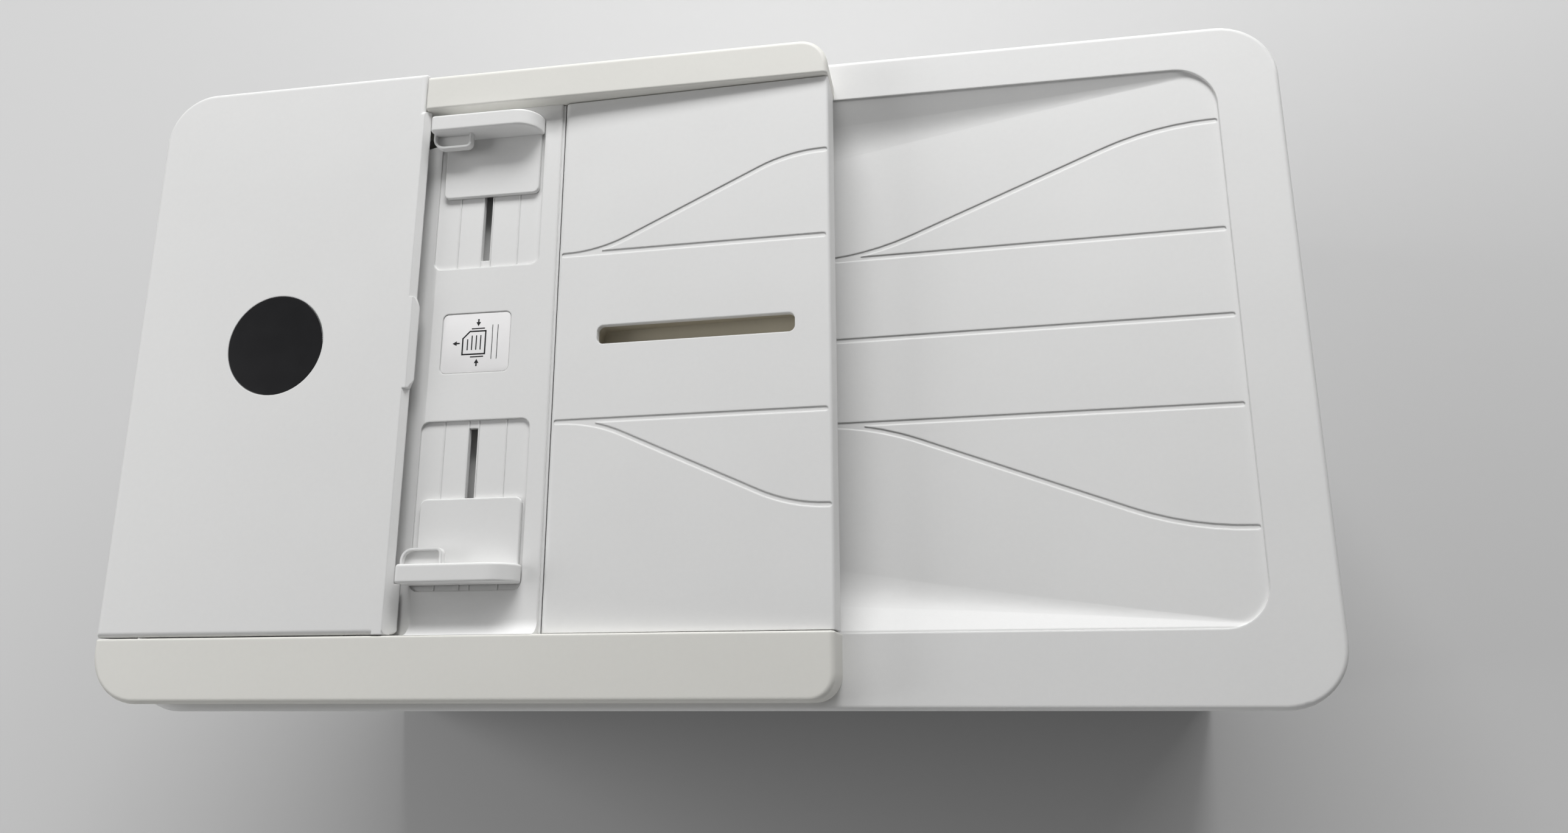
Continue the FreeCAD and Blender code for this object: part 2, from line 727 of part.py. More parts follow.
def groove_set(x0, x1, curve_end, offset, run, tail, radius, middle):
    """Straight grooves beside the paper line and the curves that leave them, as tall solids."""
    strips = []
    for side in (1, -1):
        line = PAPER_LINE + side * GROOVE_OFFSET
        out = PAPER_LINE + side * offset
        turn = curve_end - tail
        strips.append(straight_groove(x0, x1, line))
        path = [(turn - run - tail, line), (turn - run, line), (turn, out), (curve_end, out)]
        strips.append(curved_groove(path, radius))
    if middle:
        strips.append(straight_groove(x0, x1, PAPER_LINE))
    return strips


def above_plane(x0, x1, height):
    """Everything over a plane that slopes along X, given its height at both ends."""
    top = Z_RAIL + 10
    points = [(x0, height(x0)), (x1, height(x1)), (x1, top), (x0, top)]
    return along_y(points, Y_FRONT, Y_BACK)


def hinge_spots():
    """X of the middle of each lid hinge."""
    return (X_LEFT + HINGE_FROM_SIDE, X_RIGHT - HINGE_FROM_SIDE)


def lid_shell():
    """Top of the scanner lid: a hollow slab with the output bed, its grooves and the hinge notches."""
    shell = upright(rectangle(X_LEFT, X_RIGHT, Y_FRONT, Y_BACK, LID_CORNER), Z_LID, Z_RIM)
    shell = shell.makeFillet(LID_EDGE, level_edges(shell, Z_RIM))
    inner = rectangle(X_LEFT + LID_SKIN, X_RIGHT - LID_SKIN, Y_FRONT + LID_SKIN, Y_BACK - LID_SKIN,
                      LID_CORNER - LID_SKIN)
    cavity = upright(inner, Z_LID, Z_RIM - LID_SKIN).cut(bed_space(LID_SKIN))
    chamber = block(X_LEFT + CHAMBER_LEFT - SIDE_CLEAR, X_CHAMBER, WAY_FRONT + CHAMBER_SIDE - SIDE_CLEAR,
                    WAY_BACK - CHAMBER_SIDE + SIDE_CLEAR, Z_LID, Z_RIM)
    end = X_BED - GROOVE_MARGIN
    strips = groove_set(X_CHAMBER + GROOVE_UNDER, end, end, BED_CURVE_OFFSET, BED_CURVE_RUN, BED_CURVE_TAIL,
                        BED_CURVE_RADIUS, True)
    over = above_plane(X_CHAMBER - 1, X_BED + 5, lambda x: bed_floor(x) - GROOVE_DEPTH)
    shell = shell.cut([strip.common(over) for strip in strips])
    shell = shell.cut([cavity, bed_space(), chamber])
    notch_half = LID_HINGE_WIDTH / 2 + LID_HINGE_GAP
    reach = LID_KNUCKLE + LID_NOTCH_ROOM
    bosses = []
    holes = []
    notches = []
    for middle in hinge_spots():
        notches.append(block(middle - notch_half, middle + notch_half, LID_AXIS_Y - reach - LID_NOTCH_ROOM,
                             Y_BACK + 1, Z_LID, LID_AXIS_Z + reach))
        for side in (-1, 1):
            near = middle + side * notch_half
            far = near + side * LID_BOSS
            bosses.append(block(min(near, far), max(near, far), LID_AXIS_Y - LID_KNUCKLE, Y_BACK - LID_SKIN,
                                LID_AXIS_Z - LID_KNUCKLE, Z_RIM - LID_SKIN))
        holes.append(rod_x(middle - notch_half - LID_BOSS, middle + notch_half + LID_BOSS, LID_AXIS_Y,
                           LID_AXIS_Z, LID_PIN))
    edge = LID_BACK_CHAMFER
    corner = along_x([(Y_BACK - edge, Z_LID), (Y_BACK, Z_LID), (Y_BACK, Z_LID + edge)], X_LEFT, X_RIGHT)
    return join(shell, *bosses).cut(notches + holes + [corner])


def lid_plate():
    """Stiff sheet that closes the underside of the lid."""
    low = Z_LID + LID_GAP / 4
    back = LID_AXIS_Y - LID_KNUCKLE - 2 * LID_NOTCH_ROOM - SIDE_CLEAR
    inner = LID_CORNER - LID_SKIN + PLATE_ROUNDER
    plan = rectangle(X_CHAMBER + SIDE_CLEAR, X_RIGHT - LID_SKIN, Y_FRONT + LID_SKIN, back, 0, inner, inner, 0)
    return upright(plan, low, low + PLATE_THICK)


def backing_pad():
    """Soft white sheet that presses the original on the glass."""
    top = Z_LID + LID_GAP / 4
    back = LID_AXIS_Y - LID_KNUCKLE - 2 * LID_NOTCH_ROOM - SIDE_CLEAR
    plan = rectangle(X_CHAMBER + PAD_MARGIN, X_RIGHT - PAD_MARGIN, Y_FRONT + PAD_MARGIN, back - SIDE_CLEAR,
                     PAD_CORNER)
    return upright(plan, top - PAD_THICK, top)


def front_rail():
    """Broad rail along the front of the feeder, hollow from below."""
    plan = rectangle(X_LEFT, X_RAIL_END, RAIL_FRONT, WAY_FRONT, RAIL_CORNER_LEFT, RAIL_CORNER_RIGHT, 0, 0)
    rail = upright(plan, Z_RIM, Z_RAIL)
    outer = level_edges(rail, Z_RAIL, lambda x, y: y < WAY_FRONT - 0.01)
    rail = rail.makeFillet(RAIL_EDGE, outer)
    inner = level_edges(rail, Z_RAIL, lambda x, y: y > WAY_FRONT - 0.01)
    rail = rail.makeFillet(RAIL_INNER_EDGE, inner)
    wall = RAIL_WALL
    plan = rectangle(X_LEFT + wall, X_RAIL_END - wall, RAIL_FRONT + wall, WAY_FRONT - wall,
                     RAIL_CORNER_LEFT - wall, RAIL_CORNER_RIGHT - wall, 0, 0)
    return rail.cut(upright(plan, Z_RIM, Z_RAIL - wall))


def back_rail():
    """Narrow rail along the back of the feeder, right of the cover."""
    plan = rectangle(X_BACK_RAIL, X_RAIL_END, WAY_BACK, RAIL_BACK, 0, 0, RAIL_CORNER_BACK, 0)
    rail = upright(plan, Z_RIM, Z_RAIL)
    outer = level_edges(rail, Z_RAIL, lambda x, y: y > WAY_BACK + 0.01 and x > X_BACK_RAIL + 0.01)
    rail = rail.makeFillet(RAIL_EDGE, outer)
    inner = level_edges(rail, Z_RAIL, lambda x, y: y < WAY_BACK + 0.01)
    return rail.makeFillet(RAIL_INNER_EDGE, inner)


def cover_hinge_ends():
    """Y of the start of each fixed knuckle of the cover's hinge, from front to back."""
    half = COVER_HINGE_SPREAD / 2
    return (PAPER_LINE - half - KNUCKLE_LENGTH / 2, PAPER_LINE + half - KNUCKLE_LENGTH / 2)


def feeder_frame():
    """Both rails and the chamber for the feeder's rollers, as one moulding."""
    left = X_LEFT + CHAMBER_LEFT
    right = X_LEFT + CHAMBER_RIGHT
    front = WAY_FRONT + CHAMBER_SIDE
    back = WAY_BACK - CHAMBER_SIDE
    low = Z_LID + 1
    wall = CHAMBER_WALL
    flange = Z_RIM + CHAMBER_FLANGE
    pieces = [front_rail(), back_rail()]
    pieces.append(block(left, right, front, back, low, low + 2))
    pieces.append(block(left, left + wall, front, back, low, flange))
    pieces.append(block(left, right, front, front + wall, low, flange))
    pieces.append(block(left, right, back - wall, back, low, flange))
    pieces.append(block(left, right, WAY_FRONT, front + wall, Z_RIM, flange))
    pieces.append(block(left, right, back - wall, WAY_BACK, Z_RIM, flange))
    pieces.append(block(left, X_BACK_RAIL, WAY_BACK, WAY_BACK + RAIL_WALL, Z_RIM, Z_RAIL - COVER_WALL - 1.5))
    for start in cover_hinge_ends():
        end = start + KNUCKLE_LENGTH
        pieces.append(rod_y(start, end, COVER_AXIS_X, COVER_AXIS_Z, COVER_KNUCKLE))
        pieces.append(block(COVER_AXIS_X, left + wall, start, end, Z_RIM + COVER_FOOT, COVER_AXIS_Z))
    cuts = []
    for start in cover_hinge_ends():
        cuts.append(rod_y(start, start + KNUCKLE_LENGTH, COVER_AXIS_X, COVER_AXIS_Z, COVER_PIN))
    bore = DRUM_SHAFT + RUN_CLEAR
    cuts.append(rod_y(front - 1, front + wall + 1, DRUM_X, DRUM_Z, bore))
    cuts.append(rod_y(back - wall - 1, back + 1, DRUM_X, DRUM_Z, bore))
    bore = PICK_SHAFT + RUN_CLEAR
    cuts.append(rod_y(WAY_FRONT - RAIL_WALL - 1, WAY_FRONT + 1, PICK_X, PICK_Z, bore))
    cuts.append(rod_y(WAY_BACK - 1, WAY_BACK + RAIL_WALL + 1, PICK_X, PICK_Z, bore))
    cuts.append(rod_y(WAY_FRONT - RAIL_WALL, WAY_FRONT, TRAY_AXIS_X, TRAY_AXIS_Z, TRAY_PIN))
    cuts.append(rod_y(WAY_BACK, WAY_BACK + RAIL_WALL, TRAY_AXIS_X, TRAY_AXIS_Z, TRAY_PIN))
    cuts.append(block(DRUM_X - WINDOW_WIDTH / 2, DRUM_X + WINDOW_WIDTH / 2, front + WINDOW_MARGIN,
                      back - WINDOW_MARGIN, low, low + 2))
    return join(*pieces).cut(cuts)


def hinge_pins():
    """Steel pins of the lid, cover and tray hinges."""
    pins = []
    reach = LID_HINGE_WIDTH / 2 + LID_HINGE_GAP + LID_BOSS
    for middle in hinge_spots():
        pins.append(rod_x(middle - reach, middle + reach, LID_AXIS_Y, LID_AXIS_Z, LID_PIN))
    for start in cover_hinge_ends():
        end = start + 2 * KNUCKLE_LENGTH + KNUCKLE_GAP
        pins.append(rod_y(start, end, COVER_AXIS_X, COVER_AXIS_Z, COVER_PIN))
    depth = TRAY_PIN_DEPTH - 1
    pins.append(rod_y(WAY_FRONT - RAIL_WALL, WAY_FRONT + depth, TRAY_AXIS_X, TRAY_AXIS_Z, TRAY_PIN))
    pins.append(rod_y(WAY_BACK - depth, WAY_BACK + RAIL_WALL, TRAY_AXIS_X, TRAY_AXIS_Z, TRAY_PIN))
    return group(*pins)


def recess_plan(side):
    """Plan of a guide's recess on the given side of the paper line."""
    left = X_COVER + RECESS_LEFT
    right = left + RECESS_WIDTH
    ends = sorted((PAPER_LINE + side * RECESS_IN, PAPER_LINE + side * RECESS_OUT))
    return rectangle(left, right, ends[0], ends[1], RECESS_CORNER)


def feeder_deck():
    """Deck the sheets slide over: flat, then a ramp down under the cover, with the guides' recesses."""
    fall = RAMP_LENGTH * math.tan(math.radians(RAMP_ANGLE))
    wall = X_DECK_END - DECK_THICK
    foot = X_RAMP - RAMP_LENGTH
    profile = [
        (foot, Z_DECK - fall - DECK_THICK),
        (X_RAMP, Z_DECK - DECK_THICK),
        (wall, Z_DECK - DECK_THICK),
        (wall, Z_DECK - DECK_SKIRT),
        (X_DECK_END, Z_DECK - DECK_SKIRT),
        (X_DECK_END, Z_DECK, 0.8),
        (X_RAMP, Z_DECK),
        (foot, Z_DECK - fall),
    ]
    deck = along_y(profile, WAY_FRONT, WAY_BACK)
    cove = block(X_RAMP, X_DECK_END, WAY_FRONT, WAY_FRONT + DECK_COVE, Z_DECK, Z_DECK + DECK_COVE)
    cove = cove.cut(rod_x(X_RAMP, X_DECK_END, WAY_FRONT + DECK_COVE, Z_DECK + DECK_COVE, DECK_COVE))
    stud = rod_z(Z_DECK - DECK_THICK - RACK_DROP - RACK_HEIGHT - 1, Z_DECK - DECK_THICK, GUIDE_X, PAPER_LINE,
                 PINION_STUD)
    deck = join(deck, cove, stud)
    cuts = [block(foot - 1, X_RAMP - 3, WAY_BACK - RAMP_HOLE, WAY_BACK, Z_RIM, Z_RAIL)]
    ribs = []
    half = GUIDE_SLOT_WIDTH / 2
    for side in (1, -1):
        cuts.append(upright(recess_plan(side), Z_RECESS, Z_RAIL))
        ends = sorted((PAPER_LINE + side * GUIDE_SLOT_IN, PAPER_LINE + side * GUIDE_SLOT_OUT))
        cuts.append(block(GUIDE_X - half, GUIDE_X + half, ends[0], ends[1], Z_RIM, Z_RAIL))
        ends = sorted((PAPER_LINE + side * RECESS_IN, PAPER_LINE + side * RECESS_OUT))
        for shift in (-RIB_SPREAD / 2, RIB_SPREAD / 2):
            middle = X_COVER + RECESS_LEFT + RECESS_WIDTH / 2 + shift
            ribs.append(block(middle - RIB_WIDTH / 2, middle + RIB_WIDTH / 2, ends[0], ends[1],
                              Z_RECESS, Z_RECESS + RIB_HEIGHT / 2))
        for edge in (GUIDE_X - half - RIB_WIDTH, GUIDE_X + half):
            ribs.append(block(edge, edge + RIB_WIDTH, ends[0], ends[1], Z_RECESS, Z_RECESS + RIB_HEIGHT / 2))
    left = X_RAMP + LABEL_FROM_RAMP
    label = rectangle(left, left + LABEL_WIDTH, PAPER_LINE - LABEL_HEIGHT / 2, PAPER_LINE + LABEL_HEIGHT / 2,
                      LABEL_CORNER)
    cuts.append(upright(label, Z_DECK - LABEL_DEPTH, Z_RAIL))
    return join(deck.cut(cuts), *ribs)


def feeder_cover():
    """Tipping cover over the feeder's rollers, with the mouth the sheets go in by along its right edge."""
    front = WAY_FRONT + SIDE_CLEAR
    back = WAY_BACK - SIDE_CLEAR
    right = X_BACK_RAIL - 1
    low = Z_RIM + COVER_FOOT
    plan = [
        (X_LEFT, front, 0.8),
        (X_COVER, front, 0.8),
        (X_COVER, back, 0.5),
        (right, back),
        (right, Y_COVER_BACK, 0.8),
        (X_LEFT, Y_COVER_BACK, COVER_CORNER),
    ]
    cover = upright(plan, low, Z_RAIL)
    outer = level_edges(cover, Z_RAIL, lambda x, y: x < right - 1 and y > front + 1)
    cover = cover.makeFillet(COVER_EDGE, outer)
    wall = COVER_WALL
    hollow = [
        (X_LEFT + wall, front - 1),
        (X_COVER + 5, front - 1),
        (X_COVER + 5, Y_COVER_BACK - wall),
        (X_LEFT + wall, Y_COVER_BACK - wall, COVER_CORNER - wall),
    ]
    cover = cover.cut(upright(hollow, low - 1, Z_RAIL - wall))
    lip = along_y([(X_COVER - LIP_WIDTH, Z_RAIL - LIP_DEPTH), (X_COVER, Z_RAIL - LIP_DEPTH),
                   (X_COVER, Z_RAIL - wall), (X_COVER - LIP_WIDTH, Z_RAIL - wall)], front, back)
    bevel = along_y([(X_COVER - LIP_BEVEL, Z_RAIL + 1), (X_COVER - LIP_BEVEL, Z_RAIL),
                     (X_COVER + 0.1, Z_RAIL - LIP_DEPTH), (X_COVER + 5, Z_RAIL - LIP_DEPTH),
                     (X_COVER + 5, Z_RAIL + 1)], front - 1, back + 1)
    cover = join(cover, lip).cut(bevel)
    skirt_low = Z_DECK + 0.6
    reach = X_COVER + SKIRT_REACH
    skirt = along_y([(X_COVER - LIP_WIDTH, skirt_low), (reach, skirt_low),
                     (reach - SKIRT_BEVEL, Z_RAIL), (X_COVER - LIP_WIDTH, Z_RAIL)],
                    front, front + SKIRT_LENGTH)
    rounding = upright([(X_COVER - LIP_WIDTH - 1, front), (reach + 1, front, SKIRT_CORNER),
                        (reach + 1, front + SKIRT_LENGTH), (X_COVER - LIP_WIDTH - 1, front + SKIRT_LENGTH)],
                       low, Z_RAIL + 1)
    skirt = skirt.common(rounding)
    half = TAB_LENGTH / 2
    tab = upright([(X_COVER - LIP_WIDTH, PAPER_LINE - half), (X_COVER, PAPER_LINE - half, 1.0),
                   (X_COVER + TAB_REACH, PAPER_LINE - half + TAB_SLOPE, 2.0),
                   (X_COVER + TAB_REACH, PAPER_LINE + half - TAB_SLOPE, 2.0),
                   (X_COVER, PAPER_LINE + half, 1.0), (X_COVER - LIP_WIDTH, PAPER_LINE + half)],
                  Z_RAIL - LIP_DEPTH, Z_RAIL)
    bevel.translate(V(TAB_REACH, 0, 0))
    tab = tab.cut(bevel)
    pieces = [cover, skirt, tab]
    cuts = []
    for start in cover_hinge_ends():
        near = start + KNUCKLE_LENGTH + KNUCKLE_GAP
        far = near + KNUCKLE_LENGTH
        pieces.append(rod_y(near, far, COVER_AXIS_X, COVER_AXIS_Z, COVER_KNUCKLE))
        cuts.append(rod_y(near - 1, far + 1, COVER_AXIS_X, COVER_AXIS_Z, COVER_PIN + RUN_CLEAR))
        cuts.append(block(X_LEFT - 1, COVER_AXIS_X + COVER_KNUCKLE + 1, start - KNUCKLE_GAP, near, low - 1,
                          COVER_AXIS_Z + COVER_KNUCKLE + 1))
    badge_y = PAPER_LINE + BADGE_OFF_LINE
    cuts.append(rod_z(Z_RAIL - BADGE_DEPTH, Z_RAIL + 1, X_LEFT + BADGE_FROM_LEFT, badge_y,
                      BADGE_RADIUS + BADGE_PLAY))
    return join(*pieces).cut(cuts)


def cover_badge():
    """Plain round disc let into the cover."""
    badge_y = PAPER_LINE + BADGE_OFF_LINE
    disc = rod_z(Z_RAIL - BADGE_DEPTH, Z_RAIL + 0.1, X_LEFT + BADGE_FROM_LEFT, badge_y, BADGE_RADIUS)
    return disc.makeFillet(0.2, level_edges(disc, Z_RAIL + 0.1))


def document_tray():
    """Hinged tray that holds the sheets waiting to be fed, rising gently to its right end."""
    front = WAY_FRONT + SIDE_CLEAR
    back = WAY_BACK - SIDE_CLEAR
    wall = X_RAIL_END - TRAY_WALL
    profile = [
        (TRAY_AXIS_X, TRAY_LEFT_Z - TRAY_THICK),
        (wall, TRAY_RIGHT_Z - TRAY_THICK),
        (wall, TRAY_RIGHT_Z - TRAY_SKIRT),
        (X_RAIL_END, TRAY_RIGHT_Z - TRAY_SKIRT),
        (X_RAIL_END, TRAY_RIGHT_Z, TRAY_EDGE),
        (TRAY_AXIS_X, TRAY_LEFT_Z),
    ]
    tray = join(along_y(profile, front, back), rod_y(front, back, TRAY_AXIS_X, TRAY_AXIS_Z, TRAY_KNUCKLE))
    middle = (X_TRAY + X_RAIL_END) / 2 + 2.5
    slot = rectangle(middle - SLOT_LENGTH / 2, middle + SLOT_LENGTH / 2, PAPER_LINE - SLOT_WIDTH / 2,
                     PAPER_LINE + SLOT_WIDTH / 2, SLOT_CORNER)
    cuts = [upright(slot, Z_RIM, Z_RAIL)]
    for start in (front, back - TRAY_PIN_DEPTH):
        cuts.append(rod_y(start, start + TRAY_PIN_DEPTH, TRAY_AXIS_X, TRAY_AXIS_Z, TRAY_PIN + RUN_CLEAR))
    strips = groove_set(X_TRAY + GROOVE_MARGIN, X_RAIL_END - GROOVE_MARGIN, X_RAIL_END - GROOVE_MARGIN,
                        TRAY_CURVE_OFFSET, TRAY_CURVE_RUN, TRAY_CURVE_TAIL, TRAY_CURVE_RADIUS, False)
    over = above_plane(X_TRAY, X_RAIL_END + 5, lambda x: tray_top(x) - GROOVE_DEPTH)
    return tray.cut(cuts + [strip.common(over) for strip in strips])


def guide(side):
    """Paper guide on one side of the line: foot, fence with a rounded nose, hold-down tab, stem and rack."""
    def span(near, far):
        """Y range between two distances from the paper line."""
        return sorted((PAPER_LINE + side * near, PAPER_LINE + side * far))

    foot_left = GUIDE_X - FOOT_WIDTH / 2 + FOOT_SHIFT
    low = Z_RECESS + GUIDE_PLAY
    fence_low = Z_DECK + GUIDE_PLAY
    near, far = span(FOOT_IN, FENCE_IN + FENCE_THICK)
    radii = (FOOT_CORNER, FOOT_CORNER, 0, 0) if side > 0 else (0, 0, FOOT_CORNER, FOOT_CORNER)
    foot = upright(rectangle(foot_left, foot_left + FOOT_WIDTH, near, far, *radii), low, low + FOOT_THICK)
    foot_top = low + FOOT_THICK
    inner_edge = PAPER_LINE + side * (FENCE_IN - 1)
    foot = foot.makeFillet(0.6, level_edges(foot, foot_top, lambda x, y: (inner_edge - y) * side > 0))
    left = X_COVER + FENCE_LEFT
    right = left + FENCE_LENGTH
    fence_top = Z_DECK + FENCE_HEIGHT
    near, far = span(FENCE_IN, FENCE_IN + FENCE_THICK)
    fence = along_y([(left, fence_low), (right, fence_low), (right, fence_top, FENCE_NOSE),
                     (left, fence_top, 1.5)], near, far)
    fence = fence.makeFillet(FENCE_EDGE, level_edges(fence, fence_top, lambda x, y: left + 2 < x < right - 2))
    tab_low = fence_low + TAB_PLATE_ABOVE
    tab_solids = []
    for inset, out in ((0, 1), (TAB_RIM_THICK, 0)):
        near, far = span(FENCE_IN - TAB_PLATE_REACH + inset, FENCE_IN + out)
        wide = TAB_PLATE_CORNER - inset
        sharp = TAB_PLATE_CORNER / 2 - inset
        radii = (wide, sharp, 0, 0) if side > 0 else (0, 0, sharp, wide)
        plan = rectangle(left + inset, left + TAB_PLATE_LENGTH - inset, near, far, *radii)
        tab_solids.append(upright(plan, tab_low + TAB_PLATE_THICK * (inset > 0), tab_low + TAB_RIM_HEIGHT))
    tab = tab_solids[0].cut(tab_solids[1])
    rack_top = Z_DECK - DECK_THICK - RACK_DROP
    rack_low = rack_top - RACK_HEIGHT
    near, far = span(STEM_IN, STEM_IN + STEM_LENGTH)
    stem = block(GUIDE_X - STEM_WIDTH / 2, GUIDE_X + STEM_WIDTH / 2, near, far, rack_low,
                 low + FOOT_THICK / 2)
    tooth_line = GUIDE_X - side * (PINION_PITCH + 1.15 * GEAR_MODULE)
    outer_line = tooth_line - side * RACK_DEPTH
    bar_near, bar_far = span(-RACK_PAST, STEM_IN + STEM_LENGTH)
    bar = block(min(tooth_line, outer_line), max(tooth_line, outer_line), bar_near, bar_far, rack_low,
                rack_top)
    bridge = block(min(GUIDE_X, outer_line), max(GUIDE_X, outer_line), near, far, rack_low, rack_top)
    return join(foot, fence, tab, stem, bar, bridge, *rack_teeth(side, tooth_line, rack_low, rack_top))


def rack_teeth(side, tooth_line, z0, z1):
    """Straight rack teeth along Y that mesh with the pinion between the two racks."""
    step = math.pi * GEAR_MODULE
    height = 2.0 * GEAR_MODULE
    count = int((STEM_IN - 4) / step)
    first = -int((RACK_PAST - 2) / step)
    teeth = []
    for index in range(first, count):
        middle = PAPER_LINE + side * (index + 0.5) * step
        tip = tooth_line + side * height
        back = tooth_line - side * 0.5
        points = [(back, middle - 0.28 * step), (tip, middle - 0.13 * step),
                  (tip, middle + 0.13 * step), (back, middle + 0.28 * step)]
        if side < 0:
            points.reverse()
        teeth.append(upright(points, z0, z1))
    return teeth


def guide_back():
    """Guide behind the sheets."""
    return guide(1)


def guide_front():
    """Guide in front of the sheets."""
    return guide(-1)


def guide_pinion():
    """Pinion between the two racks, on the deck's stud."""
    top = Z_DECK - DECK_THICK - RACK_DROP
    wheel = gear(PINION_TEETH, RACK_HEIGHT, PINION_STUD + RUN_CLEAR)
    wheel.translate(V(GUIDE_X, PAPER_LINE, top - RACK_HEIGHT))
    return wheel


def feeder_belt_span():
    """Y range of the feeder's belt."""
    middle = WAY_BACK - CHAMBER_SIDE - CHAMBER_WALL - FEEDER_BELT_WIDTH
    return (middle - FEEDER_BELT_WIDTH / 2, middle + FEEDER_BELT_WIDTH / 2)


def feeder_drum():
    """Large roller that turns the sheet over the scan window."""
    front = WAY_FRONT + CHAMBER_SIDE
    back = WAY_BACK - CHAMBER_SIDE
    belt_near, belt_far = feeder_belt_span()
    shaft = rod_y(front, back, DRUM_X, DRUM_Z, DRUM_SHAFT)
    drum = rod_y(front + CHAMBER_WALL + DRUM_MARGIN, belt_near - DRUM_MARGIN, DRUM_X, DRUM_Z, DRUM_RADIUS)
    pulley = rod_y(belt_near, belt_far, DRUM_X, DRUM_Z, DRUM_PULLEY)
    return join(shaft, drum, pulley)


def feeder_pick_roller():
    """Shaft with two rubber tyres that draws the top sheet in."""
    belt_near, belt_far = feeder_belt_span()
    pieces = [rod_y(WAY_FRONT - RAIL_WALL, WAY_BACK + RAIL_WALL, PICK_X, PICK_Z, PICK_SHAFT)]
    pieces.append(rod_y(belt_near, belt_far, PICK_X, PICK_Z, PICK_PULLEY))
    for start in (PAPER_LINE - PICK_TYRE_GAP / 2 - PICK_TYRE_LENGTH, PAPER_LINE + PICK_TYRE_GAP / 2):
        pieces.append(rod_y(start, start + PICK_TYRE_LENGTH, PICK_X, PICK_Z, PICK_RADIUS))
    return join(*pieces)


def feeder_belt():
    """Toothed belt from the drum to the pick roller."""
    near, far = feeder_belt_span()
    return belt_loop(DRUM_X, DRUM_Z, DRUM_PULLEY + BELT_PLAY, PICK_X, PICK_Z, PICK_PULLEY + BELT_PLAY,
                     near, far, FEEDER_BELT_THICK)


def scanner_plan(inset):
    """Plan of the scanner's case, drawn in by inset."""
    edge = SCANNER_INSET + inset
    return rectangle(X_LEFT + edge, X_RIGHT - edge, Y_FRONT + edge, Y_BACK - edge, SCANNER_CORNER - inset)


def scanner_tub():
    """Lower half of the scanner's case."""
    top = Z_GLASS - BEZEL_THICK
    tub = upright(scanner_plan(0), Z_SCANNER, top)
    return tub.cut(upright(scanner_plan(SCANNER_WALL), Z_SCANNER + SCANNER_WALL, top))


def glass_spots():
    """X ranges and Y ranges of the flatbed's opening and the feeder's window."""
    right = X_RIGHT - SCANNER_INSET - GLASS_RIGHT
    half = Y_BACK - SCANNER_INSET - GLASS_EDGE
    bed = (X_LEFT + GLASS_FROM_LEFT, right, -half, half)
    window = (DRUM_X - WINDOW_WIDTH / 2, DRUM_X + WINDOW_WIDTH / 2, WAY_FRONT + WINDOW_MARGIN,
              WAY_BACK - WINDOW_MARGIN)
    return (bed, window)


def scanner_bezel():
    """Top of the scanner's case, with openings over both glasses and the lid's hinge posts."""
    low = Z_GLASS - BEZEL_THICK
    bezel = upright(scanner_plan(0), low, Z_GLASS)
    bezel = bezel.makeFillet(1.2, level_edges(bezel, Z_GLASS))
    cuts = []
    for x0, x1, y0, y1 in glass_spots():
        cuts.append(block(x0, x1, y0, y1, low, Z_GLASS))
        cuts.append(block(x0 - GLASS_LAP, x1 + GLASS_LAP, y0 - GLASS_LAP, y1 + GLASS_LAP, low,
                          low + GLASS_THICK))
    posts = []
    for middle in hinge_spots():
        half = LID_HINGE_WIDTH / 2
        post = join(block(middle - half, middle + half, LID_AXIS_Y - LID_KNUCKLE,
                          LID_AXIS_Y + LID_KNUCKLE - LID_POST_BEVEL, Z_GLASS, LID_AXIS_Z),
                    rod_x(middle - half, middle + half, LID_AXIS_Y, LID_AXIS_Z, LID_KNUCKLE))
        posts.append(post)
        cuts.append(rod_x(middle - half - 1, middle + half + 1, LID_AXIS_Y, LID_AXIS_Z, LID_PIN + RUN_CLEAR))
    return join(bezel, *posts).cut(cuts)


def scanner_glasses():
    """Flatbed glass and the narrow glass under the feeder."""
    low = Z_GLASS - BEZEL_THICK
    panes = []
    for x0, x1, y0, y1 in glass_spots():
        panes.append(block(x0 - GLASS_LAP, x1 + GLASS_LAP, y0 - GLASS_LAP, y1 + GLASS_LAP, low,
                           low + GLASS_THICK))
    return group(*panes)


def scan_rod_height():
    """Height of the scan rod's axis."""
    return Z_SCANNER + SCANNER_WALL + SCAN_ROD_UP


def scan_rod():
    """Round rail the scan bar rides on."""
    end = X_RIGHT - SCANNER_INSET - SCANNER_WALL
    return rod_x(-end, end, 0, scan_rod_height(), SCAN_ROD)


def scan_bar():
    """Light bar with its image sensor, parked under the feeder's window."""
    half = Y_BACK - SCANNER_INSET - SCANNER_WALL - SCAN_BAR_CLEAR
    left = DRUM_X - SCAN_BAR_WIDTH / 2
    top = Z_GLASS - BEZEL_THICK - SCAN_BAR_CLEAR
    low = top - SCAN_BAR_HEIGHT
    bar = block(left, left + SCAN_BAR_WIDTH, -half, half, low, top)
    slit = block(DRUM_X - SCAN_SLIT / 2, DRUM_X + SCAN_SLIT / 2, -half + SCAN_SLIT, half - SCAN_SLIT,
                 top - 2, top)
    rod = scan_rod_height()
    shoe = block(left, left + SCAN_BAR_WIDTH, -SCAN_BLOCK / 2, SCAN_BLOCK / 2, rod - SCAN_ROD - 2.5, low)
    ends = (left - 1, left + SCAN_BAR_WIDTH + 1)
    return join(bar.cut(slit), shoe).cut(rod_x(ends[0], ends[1], 0, rod, SCAN_ROD + RUN_CLEAR))


def bay_walls():
    """X range of the walls left and right of the cassette."""
    return ((BAY_LEFT - BAY_WALL, BAY_LEFT), (BAY_RIGHT, BAY_RIGHT + BAY_WALL))


